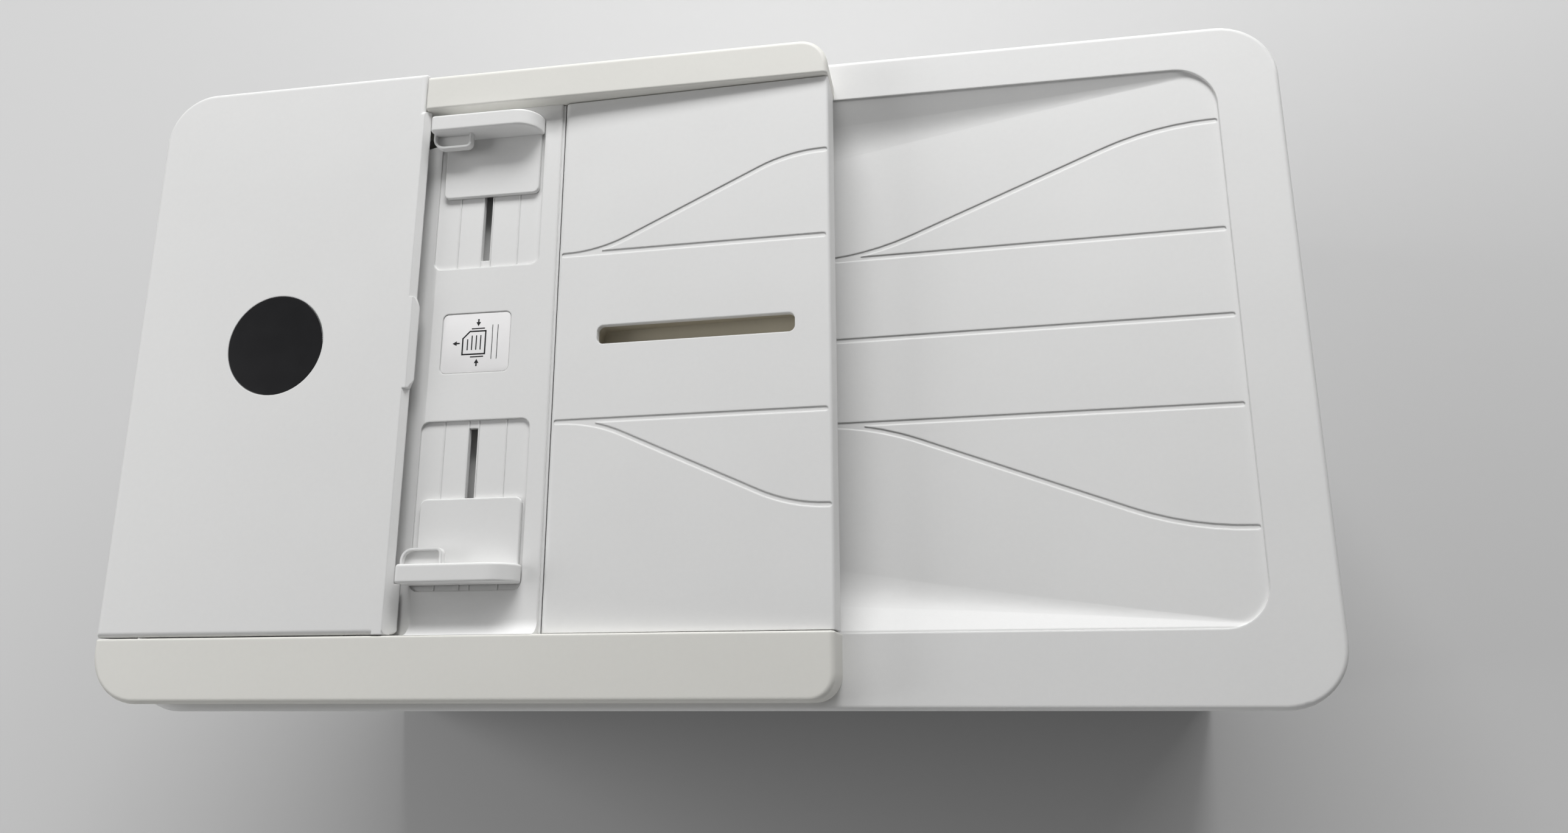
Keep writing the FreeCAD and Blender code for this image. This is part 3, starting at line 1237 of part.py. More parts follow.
def base_pan():
    """Bottom of the body with the two walls that carry the cassette and the rollers."""
    pieces = [block(-X_INNER, X_INNER, -Y_INNER, Y_INNER, FOOT_HEIGHT, Z_BAY)]
    rear = TURN_Y + TURN_RADIUS - 2
    for x0, x1 in bay_walls():
        pieces.append(block(x0, x1, -Y_INNER, rear, Z_BAY, Z_OUTPUT))
        pieces.append(block(x0, x1, EXIT_Y - WALL_PAST_SHAFT, FEED_Y + WALL_PAST_SHAFT, Z_OUTPUT,
                            FEED_Z + WALL_OVER_SHAFT))
    pan = join(*pieces)
    cuts = []
    for x0, x1 in bay_walls():
        for y, z, radius in ((FEED_Y, FEED_Z, FEED_SHAFT), (EXIT_Y, FEED_Z, EXIT_SHAFT),
                             (TURN_Y, TURN_Z, TURN_SHAFT), (PICK_PIVOT_Y, PICK_PIVOT_Z, PICK_SHAFT)):
            cuts.append(rod_x(x0 - 1, x1 + 1, y, z, radius + RUN_CLEAR))
    return pan.cut(cuts)


def rubber_feet():
    """Four feet under the base."""
    feet = []
    for x in (-X_BODY + FOOT_INSET, X_BODY - FOOT_INSET):
        for y in (-Y_BODY + FOOT_INSET, Y_BODY - FOOT_INSET):
            foot = rod_z(0, FOOT_HEIGHT, x, y, FOOT_RADIUS)
            feet.append(foot.makeFillet(1.0, level_edges(foot, 0)))
    return group(*feet)


def side_cover(side):
    """Outer wall on one side of the body."""
    ends = sorted((side * X_INNER, side * X_BODY))
    cover = block(ends[0], ends[1], -Y_BODY, Y_BODY, FOOT_HEIGHT, Z_SCANNER)
    outer = [edge for edge in cover.Edges if abs(edge.BoundBox.ZLength - BODY_HEIGHT) < 1e-3
             and abs(abs(edge.CenterOfMass.x) - X_BODY) < 1e-3]
    return cover.makeFillet(SIDE_WALL - 0.5, outer)


def side_cover_left():
    """Left wall."""
    return side_cover(-1)


def side_cover_right():
    """Right wall."""
    return side_cover(1)


def panel_axis():
    """Y and Z of the control panel's tilt axis."""
    return (-Y_BODY + FRONT_WALL / 2, PANEL_BOTTOM + PANEL_HEIGHT - DOOR_BARREL - PANEL_GAP - 2)


def door_axis():
    """Y and Z of the cartridge door's hinge."""
    return (-Y_BODY + DOOR_BARREL - 0.5, DOOR_BOTTOM + DOOR_BARREL + DOOR_GAP)


def rear_axis():
    """Y and Z of the rear door's hinge."""
    return (Y_BODY - DOOR_BARREL + 0.5, REAR_DOOR_BOTTOM + DOOR_BARREL + DOOR_GAP)


def front_fascia():
    """Front wall with openings for cassette, output, control panel and cartridge door."""
    wall = block(-X_INNER, X_INNER, -Y_BODY, -Y_INNER, FOOT_HEIGHT, Z_SCANNER)
    y0 = -Y_BODY - 1
    y1 = -Y_INNER + 1
    cuts = [
        block(BAY_LEFT, BAY_RIGHT, y0, y1, Z_BAY, Z_OUTPUT - 1),
        block(BAY_LEFT + BAY_WALL, BAY_RIGHT - BAY_WALL, y0, y1, Z_OUTPUT + OUTPUT_PLATE,
              PANEL_BOTTOM - PANEL_SILL),
        block(PANEL_LEFT, PANEL_LEFT + PANEL_WIDTH, y0, y1, PANEL_BOTTOM, PANEL_BOTTOM + PANEL_HEIGHT),
        block(DOOR_LEFT, DOOR_LEFT + DOOR_WIDTH, y0, y1, DOOR_BOTTOM, DOOR_BOTTOM + DOOR_HEIGHT),
    ]
    reach = 4.0
    y, z = panel_axis()
    cuts.append(rod_x(PANEL_LEFT - reach, PANEL_LEFT + PANEL_WIDTH + reach, y, z, DOOR_PIN + RUN_CLEAR))
    y, z = door_axis()
    cuts.append(rod_x(DOOR_LEFT - reach, DOOR_LEFT + DOOR_WIDTH + reach, y, z, DOOR_PIN + RUN_CLEAR))
    return wall.cut(cuts)


def rear_span():
    """X range of the rear door's opening."""
    return (BAY_LEFT + BAY_WALL, BAY_RIGHT - BAY_WALL)


def inlet_spot():
    """Middle of the mains inlet on the back, in X and Z."""
    return (SUPPLY_LEFT + SUPPLY_WIDTH / 2, Z_BAY + SUPPLY_HEIGHT / 2)


def port_spot():
    """Left edge and bottom of the data sockets on the back, in X and Z."""
    return (-X_INNER + BOARD_STANDOFF + BOARD_THICK, Z_BAY + PORT_UP)


def rear_cover():
    """Back wall with openings for the rear door and the sockets."""
    wall = block(-X_INNER, X_INNER, Y_INNER, Y_BODY, FOOT_HEIGHT, Z_SCANNER)
    y0 = Y_INNER - 1
    y1 = Y_BODY + 1
    x0, x1 = rear_span()
    inlet_x, inlet_z = inlet_spot()
    port_x, port_z = port_spot()
    cuts = [
        block(x0, x1, y0, y1, REAR_DOOR_BOTTOM, REAR_DOOR_BOTTOM + REAR_DOOR_HEIGHT),
        block(inlet_x - INLET_WIDTH / 2, inlet_x + INLET_WIDTH / 2, y0, y1, inlet_z - INLET_HEIGHT / 2,
              inlet_z + INLET_HEIGHT / 2),
        block(port_x, port_x + PORT_WIDTH, y0, y1, port_z, port_z + PORT_HEIGHT),
    ]
    y, z = rear_axis()
    cuts.append(rod_x(x0 - 4, x1 + 4, y, z, DOOR_PIN + RUN_CLEAR))
    return wall.cut(cuts)


def output_tray():
    """Plate over the cassette that catches the printed sheets."""
    x0, x1 = bay_walls()[0][0], bay_walls()[1][1]
    plate = block(x0, x1, -Y_INNER, EXIT_Y - WALL_PAST_SHAFT - 1, Z_OUTPUT,
                  Z_OUTPUT + OUTPUT_PLATE)
    return plate


def extension_front():
    """Y of the output extension's front edge."""
    return -Y_INNER


def output_extension():
    """Flat slide that lengthens the output tray, with a recess for its stop."""
    low = Z_OUTPUT + OUTPUT_PLATE + CASSETTE_PLAY
    y0 = extension_front()
    left = PAPER_CENTRE - EXTENSION_WIDTH / 2
    right = PAPER_CENTRE + EXTENSION_WIDTH / 2
    plan = rectangle(left, right, y0, y0 + EXTENSION_LENGTH, EXTENSION_CORNER, EXTENSION_CORNER, 0, 0)
    plate = upright(plan, low, low + EXTENSION_THICK)
    side = EXTENSION_WIDTH / 4
    y1 = y0 + STOP_FROM_EDGE
    pocket = block(PAPER_CENTRE - side - 1, PAPER_CENTRE + side + 1, y1 - STOP_THICK,
                   y1 + STOP_LENGTH + STOP_THICK, low, low + EXTENSION_THICK)
    reach = side + STOP_PIN_REACH + 1
    pin = rod_x(PAPER_CENTRE - reach, PAPER_CENTRE + reach, y1, low + EXTENSION_THICK / 2,
                STOP_PIN + RUN_CLEAR)
    return plate.cut([pocket, pin])


def extension_stop():
    """Flip-up stop at the end of the extension, lying in its recess."""
    low = Z_OUTPUT + OUTPUT_PLATE + CASSETTE_PLAY
    y0 = extension_front() + STOP_FROM_EDGE
    z0 = low + EXTENSION_THICK / 2
    side = EXTENSION_WIDTH / 4
    half = STOP_THICK / 2
    leaf = upright(rectangle(PAPER_CENTRE - side, PAPER_CENTRE + side, y0, y0 + STOP_LENGTH, 0, 0, 8.0, 8.0),
                   z0 - half, z0 + half)
    reach = side + STOP_PIN_REACH
    pin = rod_x(PAPER_CENTRE - reach, PAPER_CENTRE + reach, y0, z0, STOP_PIN)
    barrel = rod_x(PAPER_CENTRE - side, PAPER_CENTRE + side, y0, z0, half)
    return join(leaf, pin, barrel)


def print_platen():
    """Ribbed bridge under the print head."""
    low = FEED_Z + FEED_RADIUS - PLATEN_RISE
    top = FEED_Z + FEED_RADIUS - 1
    bridge = block(BAY_LEFT, BAY_RIGHT, PLATEN_FRONT, PLATEN_BACK, low, top)
    ribs = []
    half = PLATEN_RIB / 2
    for index in range(PLATEN_RIBS):
        x = BAY_LEFT + (index + 0.5) * BAY_WIDTH / PLATEN_RIBS
        ribs.append(block(x - half, x + half, PLATEN_FRONT, PLATEN_BACK, top, top + 1))
    return join(bridge, *ribs)


def roller(y, z, radius, shaft, left_end):
    """Roller across the paper way on a thinner shaft."""
    right_end = BAY_RIGHT + BAY_WALL + 2
    bar = rod_x(left_end, right_end, y, z, shaft)
    body = rod_x(BAY_LEFT + 4, BAY_RIGHT - 4, y, z, radius)
    return join(bar, body)


def feed_roller():
    """Roller that carries the sheet under the print head, with its gear."""
    wheel = gear_x(FEED_TEETH, GEAR_X, FEED_Y, FEED_Z, 0)
    return join(roller(FEED_Y, FEED_Z, FEED_RADIUS, FEED_SHAFT, GEAR_X), wheel)


def feed_motor_spot():
    """Y and Z of the feed motor's shaft, straight under the idler gear."""
    return ((FEED_Y + EXIT_Y) / 2, FEED_Z - MOTOR_GAP)


def feed_pinion():
    """Small gear on the feed motor, in mesh with the idler gear."""
    y, z = feed_motor_spot()
    return gear_x(FEED_PINION_TEETH, GEAR_X, y, z, PULLEY_BORE + RUN_CLEAR)


def idler_gear():
    """Gear between the feed gear and the exit gear."""
    phase = math.pi / FEED_TEETH
    return gear_x(FEED_TEETH, GEAR_X, (FEED_Y + EXIT_Y) / 2, FEED_Z, PULLEY_BORE + RUN_CLEAR, phase)


def exit_roller():
    """Roller that pushes the printed sheet out, with its gear."""
    wheel = gear_x(FEED_TEETH, GEAR_X, EXIT_Y, FEED_Z, 0)
    return join(roller(EXIT_Y, FEED_Z, EXIT_RADIUS, EXIT_SHAFT, GEAR_X), wheel)


def turn_roller():
    """Large roller the sheet turns round at the back, with its gear."""
    lean = math.atan2(FEED_Z - TURN_Z, FEED_Y - TURN_Y)
    feed_step = 2 * math.pi / FEED_TEETH
    turn_step = 2 * math.pi / TURN_TEETH
    share = ((lean - math.pi) / feed_step) % 1.0
    phase = lean + turn_step * (share - 0.5)
    wheel = gear_x(TURN_TEETH, GEAR_X, TURN_Y, TURN_Z, 0, phase)
    return join(roller(TURN_Y, TURN_Z, TURN_RADIUS, TURN_SHAFT, GEAR_X), wheel)


def pick_arm():
    """Arm that lowers the pick roller on the stack, swinging on a shaft across the bay."""
    y1 = PICK_PIVOT_Y + PICK_ARM_Y
    z1 = PICK_PIVOT_Z + PICK_ARM_Z
    half = PICK_ARM_WIDTH / 2
    pieces = [rod_x(BAY_LEFT - BAY_WALL, BAY_RIGHT + BAY_WALL, PICK_PIVOT_Y, PICK_PIVOT_Z, PICK_SHAFT)]
    pieces.append(rod_x(PAPER_CENTRE - half, PAPER_CENTRE + half, PICK_PIVOT_Y, PICK_PIVOT_Z, PICK_BOSS))
    lean = math.atan2(PICK_ARM_Z, PICK_ARM_Y)
    side_y = 0.75 * PICK_BOSS * math.sin(lean)
    side_z = 0.75 * PICK_BOSS * math.cos(lean)
    cheek = [(PICK_PIVOT_Y + side_y, PICK_PIVOT_Z - side_z), (y1 + side_y, z1 - side_z),
             (y1 - side_y, z1 + side_z), (PICK_PIVOT_Y - side_y, PICK_PIVOT_Z + side_z)]
    for x in (PAPER_CENTRE - half, PAPER_CENTRE + half - PICK_CHEEK):
        pieces.append(along_x(cheek, x, x + PICK_CHEEK))
        pieces.append(rod_x(x, x + PICK_CHEEK, y1, z1, 0.75 * PICK_BOSS))
    bore = rod_x(PAPER_CENTRE - half, PAPER_CENTRE + half, y1, z1, PICK_AXLE + RUN_CLEAR)
    return join(*pieces).cut(bore)


def pick_roller():
    """Rubber roller at the end of the pick arm."""
    y1 = PICK_PIVOT_Y + PICK_ARM_Y
    z1 = PICK_PIVOT_Z + PICK_ARM_Z
    half = PICK_ARM_WIDTH / 2
    axle = rod_x(PAPER_CENTRE - half, PAPER_CENTRE + half, y1, z1, PICK_AXLE)
    tyre_half = half - PICK_CHEEK - 1
    tyre = rod_x(PAPER_CENTRE - tyre_half, PAPER_CENTRE + tyre_half, y1, z1, PICK_TYRE)
    return join(axle, tyre)


def cassette_inside():
    """X range and low Z of the cassette's inside."""
    left = BAY_LEFT + CASSETTE_SIDE_CLEAR + CASSETTE_WALL
    right = BAY_RIGHT - CASSETTE_SIDE_CLEAR - CASSETTE_WALL
    return (left, right, Z_BAY + CASSETTE_FLOOR_GAP + CASSETTE_WALL)


def cassette():
    """Drawer for the blank sheets, with its front and a finger grip."""
    left, right, floor = cassette_inside()
    low = Z_BAY + CASSETTE_FLOOR_GAP
    front = -Y_BODY
    back = CASSETTE_BACK
    wall = CASSETTE_WALL
    box = block(left - wall, right + wall, front, back, low, low + CASSETTE_SIDE_HEIGHT)
    box = box.cut(block(left, right, front + wall, back - wall, floor, low + CASSETTE_SIDE_HEIGHT))
    rear = block(left, right, back - wall, back, low + CASSETTE_BACK_HEIGHT, low + CASSETTE_SIDE_HEIGHT)
    gate = block(PAPER_CENTRE - PICK_GATE / 2, PAPER_CENTRE + PICK_GATE / 2, back - wall, back, floor,
                 low + CASSETTE_SIDE_HEIGHT)
    face = block(BAY_LEFT - CASSETTE_FACE_LAP, BAY_RIGHT + CASSETTE_FACE_LAP, front - CASSETTE_FACE, front,
                 low, Z_OUTPUT - 2)
    face = face.makeFillet(1.2, [edge for edge in face.Edges
                                 if abs(edge.BoundBox.YMax - front + CASSETTE_FACE) < 1e-3])
    grip = block(PAPER_CENTRE - CASSETTE_GRIP / 2, PAPER_CENTRE + CASSETTE_GRIP / 2, front - CASSETTE_FACE,
                 front + wall, Z_OUTPUT - CASSETTE_GRIP_DROP, Z_OUTPUT)
    return join(box.cut([rear, gate]), face).cut(grip)


def width_guide(side):
    """Side guide of the cassette."""
    left, right, floor = cassette_inside()
    low = floor + CASSETTE_PLAY
    inner = PAPER_CENTRE + side * SHEET_WIDTH / 2
    outer = inner + side * GUIDE_WALL
    middle = (CASSETTE_BACK - Y_BODY) / 2
    y0 = middle - CASSETTE_GUIDE_LENGTH / 2
    y1 = middle + CASSETTE_GUIDE_LENGTH / 2
    fence = block(min(inner, outer), max(inner, outer), y0, y1, low, low + CASSETTE_GUIDE_HEIGHT)
    foot_end = inner - side * CASSETTE_GUIDE_FOOT
    foot = block(min(inner, foot_end), max(inner, foot_end), middle - CASSETTE_GUIDE_FOOT,
                 middle + CASSETTE_GUIDE_FOOT, low, low + CASSETTE_FOOT_THICK)
    return join(fence, foot)


def width_guide_left():
    """Left guide."""
    return width_guide(-1)


def width_guide_right():
    """Right guide."""
    return width_guide(1)


def length_guide():
    """Guide at the front end of the stack in the cassette."""
    floor = cassette_inside()[2]
    low = floor + CASSETTE_PLAY
    back = CASSETTE_BACK - CASSETTE_WALL
    y1 = back - SHEET_DEPTH - 1
    half = LENGTH_GUIDE_WIDTH / 2
    fence = block(PAPER_CENTRE - half, PAPER_CENTRE + half, y1 - GUIDE_WALL, y1, low,
                  low + CASSETTE_GUIDE_HEIGHT)
    foot = block(PAPER_CENTRE - 0.6 * half, PAPER_CENTRE + 0.6 * half, y1, y1 + CASSETTE_GUIDE_FOOT, low,
                 low + CASSETTE_FOOT_THICK)
    return join(fence, foot)


def chassis_beam():
    """Folded steel beam behind the carriage, with end plates that hold the rod and a stud for the idler."""
    back = BEAM_Y + BEAM_SHEET
    front = back - BEAM_REACH
    pieces = [block(-BEAM_HALF, BEAM_HALF, BEAM_Y, back, BEAM_LOW, BEAM_HIGH)]
    for side in (-1, 1):
        ends = sorted((side * BEAM_HALF, side * (BEAM_HALF + BEAM_PLATE)))
        pieces.append(block(ends[0], ends[1], front, back, BEAM_LOW, BEAM_HIGH))
    pieces.append(rod_y(BELT_Y - BELT_WIDTH / 2 - 1, BEAM_Y, -PULLEY_HALF_SPAN, BELT_Z, PULLEY_BORE))
    cuts = [rod_x(-BEAM_HALF - BEAM_PLATE - 1, BEAM_HALF + BEAM_PLATE + 1, ROD_Y, ROD_Z, ROD_RADIUS)]
    cuts.append(rod_y(BEAM_Y - 1, back + 1, PULLEY_HALF_SPAN, BELT_Z, PULLEY_BORE + 2))
    return join(*pieces).cut(cuts)


def carriage_rod():
    """Polished rod the carriage slides on."""
    return rod_x(-BEAM_HALF - BEAM_PLATE, BEAM_HALF + BEAM_PLATE, ROD_Y, ROD_Z, ROD_RADIUS)


def encoder_strip():
    """Clear ruled strip the carriage reads its place from."""
    middle = CARRIAGE_BACK + 2
    return block(-BEAM_HALF, BEAM_HALF, middle, middle + STRIP_THICK, STRIP_Z, STRIP_Z + STRIP_HEIGHT)


def timing_belt():
    """Toothed belt that draws the carriage."""
    radius = PULLEY_RADIUS + BELT_PLAY
    return belt_loop(-PULLEY_HALF_SPAN, BELT_Z, radius, PULLEY_HALF_SPAN, BELT_Z, radius,
                     BELT_Y - BELT_WIDTH / 2, BELT_Y + BELT_WIDTH / 2, BELT_THICK)


def pulley(x):
    """Belt pulley about Y with a flange on its far side."""
    near = BELT_Y - BELT_WIDTH / 2
    far = BELT_Y + BELT_WIDTH / 2
    wheel = rod_y(near, far, x, BELT_Z, PULLEY_RADIUS)
    flange = rod_y(near - PULLEY_FLANGE - BELT_PLAY, near - BELT_PLAY, x, BELT_Z, PULLEY_RADIUS + 2)
    neck = rod_y(near - BELT_PLAY, near, x, BELT_Z, PULLEY_RADIUS - 1)
    bore = rod_y(near - 3, far + 1, x, BELT_Z, PULLEY_BORE + RUN_CLEAR)
    return join(wheel, neck, flange).cut(bore)


def carriage_pulley():
    """Pulley on the carriage motor."""
    return pulley(PULLEY_HALF_SPAN)


def idler_pulley():
    """Pulley at the belt's far end."""
    return pulley(-PULLEY_HALF_SPAN)


def drive_motors():
    """Carriage motor behind the beam and feed motor beside the gear train."""
    back = BEAM_Y + BEAM_SHEET
    case = rod_y(back, back + MOTOR_LENGTH, PULLEY_HALF_SPAN, BELT_Z, MOTOR_RADIUS)
    shaft = rod_y(BELT_Y - BELT_WIDTH / 2 - 1, back, PULLEY_HALF_SPAN, BELT_Z, PULLEY_BORE)
    y, z = feed_motor_spot()
    feed_case = rod_x(GEAR_X - 2 - MOTOR_LENGTH, GEAR_X - 2, y, z, MOTOR_RADIUS)
    feed_shaft = rod_x(GEAR_X - 2, GEAR_X + GEAR_WIDTH, y, z, PULLEY_BORE)
    return group(join(case, shaft), join(feed_case, feed_shaft))


def carriage_left():
    """X of the parked carriage's left side."""
    return CARRIAGE_PARK - CARRIAGE_WIDTH / 2


def carriage():
    """Moving box that holds the cartridges over the print head and slides on the rod."""
    left = carriage_left()
    right = left + CARRIAGE_WIDTH
    front = CARRIAGE_BACK - CARRIAGE_DEPTH
    wall = CARRIAGE_WALL
    top = CARRIAGE_LOW + CARRIAGE_HEIGHT
    inner_back = ROD_Y - ROD_RADIUS - wall - 1
    box = block(left, right, front, CARRIAGE_BACK, CARRIAGE_LOW, top)
    half = HEAD_WIDTH / 2
    head = block(CARRIAGE_PARK - half, CARRIAGE_PARK + half, front + HEAD_MARGIN, PLATEN_BACK - 4,
                 CARRIAGE_LOW - HEAD_DROP, CARRIAGE_LOW)
    half = CLAMP_WIDTH / 2
    clamp_end = BELT_Y - BELT_WIDTH / 2 - BELT_PLAY
    clamp = block(CARRIAGE_PARK - half, CARRIAGE_PARK + half, CARRIAGE_BACK, clamp_end,
                  BELT_Z - 1.5 * CLAMP_HEIGHT, BELT_Z - 0.5 * CLAMP_HEIGHT)
    hollow = block(left + wall, right - wall, front + wall, inner_back, CARRIAGE_LOW + CARRIAGE_FLOOR, top)
    mouth = block(left + wall, right - wall, front, front + wall, CARRIAGE_LOW + CARRIAGE_HEIGHT * 0.55, top)
    bore = rod_x(left - 1, right + 1, ROD_Y, ROD_Z, ROD_RADIUS + RUN_CLEAR)
    return join(box, head, clamp).cut([hollow, mouth, bore])


def cartridge(first, widths):
    """Ink cartridges side by side in the carriage, from slot number first on."""
    left = carriage_left() + CARRIAGE_WALL
    front = CARRIAGE_BACK - CARRIAGE_DEPTH + CARRIAGE_WALL
    back = ROD_Y - ROD_RADIUS - CARRIAGE_WALL - 1
    low = CARRIAGE_LOW + CARRIAGE_FLOOR
    slot = (CARRIAGE_WIDTH - 2 * CARRIAGE_WALL) / CARTRIDGE_SLOTS
    solids = []
    start = first
    for width in widths:
        x0 = left + start * slot + CARTRIDGE_GAP / 2
        x1 = left + (start + width) * slot - CARTRIDGE_GAP / 2
        y0 = front + CARTRIDGE_GAP
        y1 = back - CARTRIDGE_GAP
        body = block(x0, x1, y0, y1, low, low + CARTRIDGE_HEIGHT)
        shoulder = block(x0, x1, y0, y0 + CARTRIDGE_STEP, low + CARTRIDGE_HEIGHT - CARTRIDGE_STEP,
                         low + CARTRIDGE_HEIGHT)
        solids.append(body.cut(shoulder))
        start += width
    return solids


def black_cartridge():
    """Wide black ink cartridge."""
    return group(*cartridge(0, (2,)))


def colour_cartridges():
    """Three narrow colour cartridges."""
    return group(*cartridge(2, (1, 1, 1)))


def service_station():
    """Capping and wiping station under the parked carriage."""
    left = CARRIAGE_PARK - SERVICE_WIDTH / 2
    back = CARRIAGE_BACK - 2
    low = Z_BAY + SUPPLY_HEIGHT
    base = block(left, left + SERVICE_WIDTH, back - SERVICE_DEPTH, back, low, SERVICE_TOP - 4)
    pieces = [base]
    for shift in (0.1, 0.55):
        x = left + shift * SERVICE_WIDTH
        pieces.append(block(x, x + SERVICE_WIDTH * 0.32, back - SERVICE_DEPTH + SERVICE_MARGIN,
                            back - SERVICE_MARGIN, SERVICE_TOP - 4,
                            SERVICE_TOP))
    return join(*pieces)


def power_supply():
    """Mains supply in its box at the right of the base."""
    back = Y_INNER - INLET_DEPTH
    box = block(SUPPLY_LEFT, SUPPLY_LEFT + SUPPLY_WIDTH, back - SUPPLY_DEPTH, back, Z_BAY,
                Z_BAY + SUPPLY_HEIGHT)
    vents = []
    top = Z_BAY + SUPPLY_HEIGHT
    pitch = SUPPLY_WIDTH / (SUPPLY_VENTS + 2)
    for index in range(SUPPLY_VENTS):
        x = SUPPLY_LEFT + (index + 1) * pitch
        vents.append(block(x, x + SUPPLY_VENT, back - SUPPLY_DEPTH + SUPPLY_VENT, back - SUPPLY_DEPTH * 0.7,
                           top - SUPPLY_VENT / 2, top))
    return box.cut(vents)


def main_board():
    """Logic board upright inside the left wall, with its larger parts."""
    x0 = -X_INNER + BOARD_STANDOFF
    y1 = Y_INNER - 2
    low = Z_BAY + BOARD_UP
    board = block(x0, x0 + BOARD_THICK, y1 - BOARD_LENGTH, y1, low, low + BOARD_HEIGHT)
    pieces = [board]
    for along, up, width, height, rise in ((0.2, 0.33, 0.16, 0.33, 2), (0.5, 0.45, 0.08, 0.25, 1),
                                           (0.7, 0.2, 0.07, 0.45, 5)):
        y0 = y1 - BOARD_LENGTH * (1 - along)
        z0 = low + BOARD_HEIGHT * up
        pieces.append(block(x0 + BOARD_THICK, x0 + BOARD_THICK * (1 + rise), y0, y0 + BOARD_LENGTH * width,
                            z0, z0 + BOARD_HEIGHT * height))
    for along in (0.05, 0.8):
        for up in (0.1, 0.9):
            pieces.append(rod_x(-X_INNER, x0, y1 - BOARD_LENGTH * (1 - along), low + BOARD_HEIGHT * up,
                                1.5 * BOARD_THICK))
    return join(*pieces)


def rear_sockets():
    """Mains inlet and the block of data sockets on the back."""
    inlet_x, inlet_z = inlet_spot()
    half_w = INLET_WIDTH / 2
    half_h = INLET_HEIGHT / 2
    inlet = block(inlet_x - half_w, inlet_x + half_w, Y_INNER - INLET_DEPTH, Y_BODY, inlet_z - half_h,
                  inlet_z + half_h)
    wall = INLET_WALL
    well = [(inlet_x - half_w + wall, inlet_z - half_h + wall),
            (inlet_x + half_w - wall, inlet_z - half_h + wall),
            (inlet_x + half_w - wall, inlet_z + half_h - 2 * wall),
            (inlet_x + half_w - 2 * wall, inlet_z + half_h - wall),
            (inlet_x - half_w + 2 * wall, inlet_z + half_h - wall),
            (inlet_x - half_w + wall, inlet_z + half_h - 2 * wall)]
    floor = Y_INNER - INLET_DEPTH + 1.5 * wall
    inlet = inlet.cut(along_y(well, floor, Y_BODY))
    blades = []
    half = INLET_BLADE / 2
    for shift in (-0.22, 0.0, 0.22):
        x = inlet_x + shift * INLET_WIDTH
        blades.append(block(x - half, x + half, floor, Y_BODY - 2 * wall, inlet_z - INLET_BLADE,
                            inlet_z + INLET_BLADE))
    port_x, port_z = port_spot()
    port = block(port_x, port_x + PORT_WIDTH, Y_INNER - PORT_DEPTH, Y_BODY, port_z, port_z + PORT_HEIGHT)
    holes = []
    for up, width, height in ((0.06, 0.75, 0.17), (0.285, 0.5, 0.13), (0.485, 0.75, 0.17), (0.72, 0.7, 0.16)):
        x0 = port_x + PORT_WIDTH * (1 - width) / 2
        z0 = port_z + PORT_HEIGHT * up
        holes.append(block(x0, x0 + PORT_WIDTH * width, Y_INNER - 0.75 * PORT_DEPTH, Y_BODY, z0,
                           z0 + PORT_HEIGHT * height))
    return group(join(inlet, *blades), port.cut(holes))


def control_panel():
    """Tilting panel with seats for the touch screen and the power button."""
    y, z = panel_axis()
    gap = PANEL_GAP
    x0 = PANEL_LEFT + gap
    x1 = PANEL_LEFT + PANEL_WIDTH - gap
    front = -Y_BODY - 1.0
    low = PANEL_BOTTOM + gap
    barrel = y - front
    slab = along_x([(front, low, 2.0), (front + PANEL_DEPTH, low, 2.0), (front + PANEL_DEPTH, z), (front, z)],
                   x0, x1)
    top = rod_x(x0, x1, y, z, barrel)
    pin = rod_x(PANEL_LEFT - 3.5, PANEL_LEFT + PANEL_WIDTH + 3.5, y, z, DOOR_PIN)
    screen_x, screen_z = screen_spot()
    seat = block(screen_x, screen_x + SCREEN_WIDTH, front - 1, front + SCREEN_THICK, screen_z,
                 screen_z + SCREEN_HEIGHT)
    button_x, button_z = button_spot()
    well = rod_y(front - 1, front + BUTTON_LENGTH + BUTTON_TRAVEL + BUTTON_PLAY, button_x, button_z,
                 BUTTON_RADIUS + BUTTON_PLAY)
    return join(slab, top, pin).cut([seat, well])


def screen_spot():
    """X and Z of the touch screen's lower left corner."""
    left = PANEL_LEFT + (PANEL_WIDTH - SCREEN_WIDTH) / 2
    return (left, PANEL_BOTTOM + 4)


def button_spot():
    """X and Z of the power button's middle."""
    return (PANEL_LEFT + PANEL_WIDTH - BUTTON_FROM_RIGHT, PANEL_BOTTOM + 4 + SCREEN_HEIGHT / 2)


def touch_screen():
    """Dark glass of the touch screen, flush with the panel."""
    x, z = screen_spot()
    front = -Y_BODY - 1.0
    return block(x, x + SCREEN_WIDTH, front, front + SCREEN_THICK, z, z + SCREEN_HEIGHT)


def power_button():
    """Round push button."""
    x, z = button_spot()
    front = -Y_BODY - 1.0 - BUTTON_TRAVEL
    cap = rod_y(front, front + BUTTON_LENGTH + BUTTON_TRAVEL, x, z, BUTTON_RADIUS)
    return cap.makeFillet(0.6, [edge for edge in cap.Edges if abs(edge.BoundBox.YMax - front) < 1e-3])


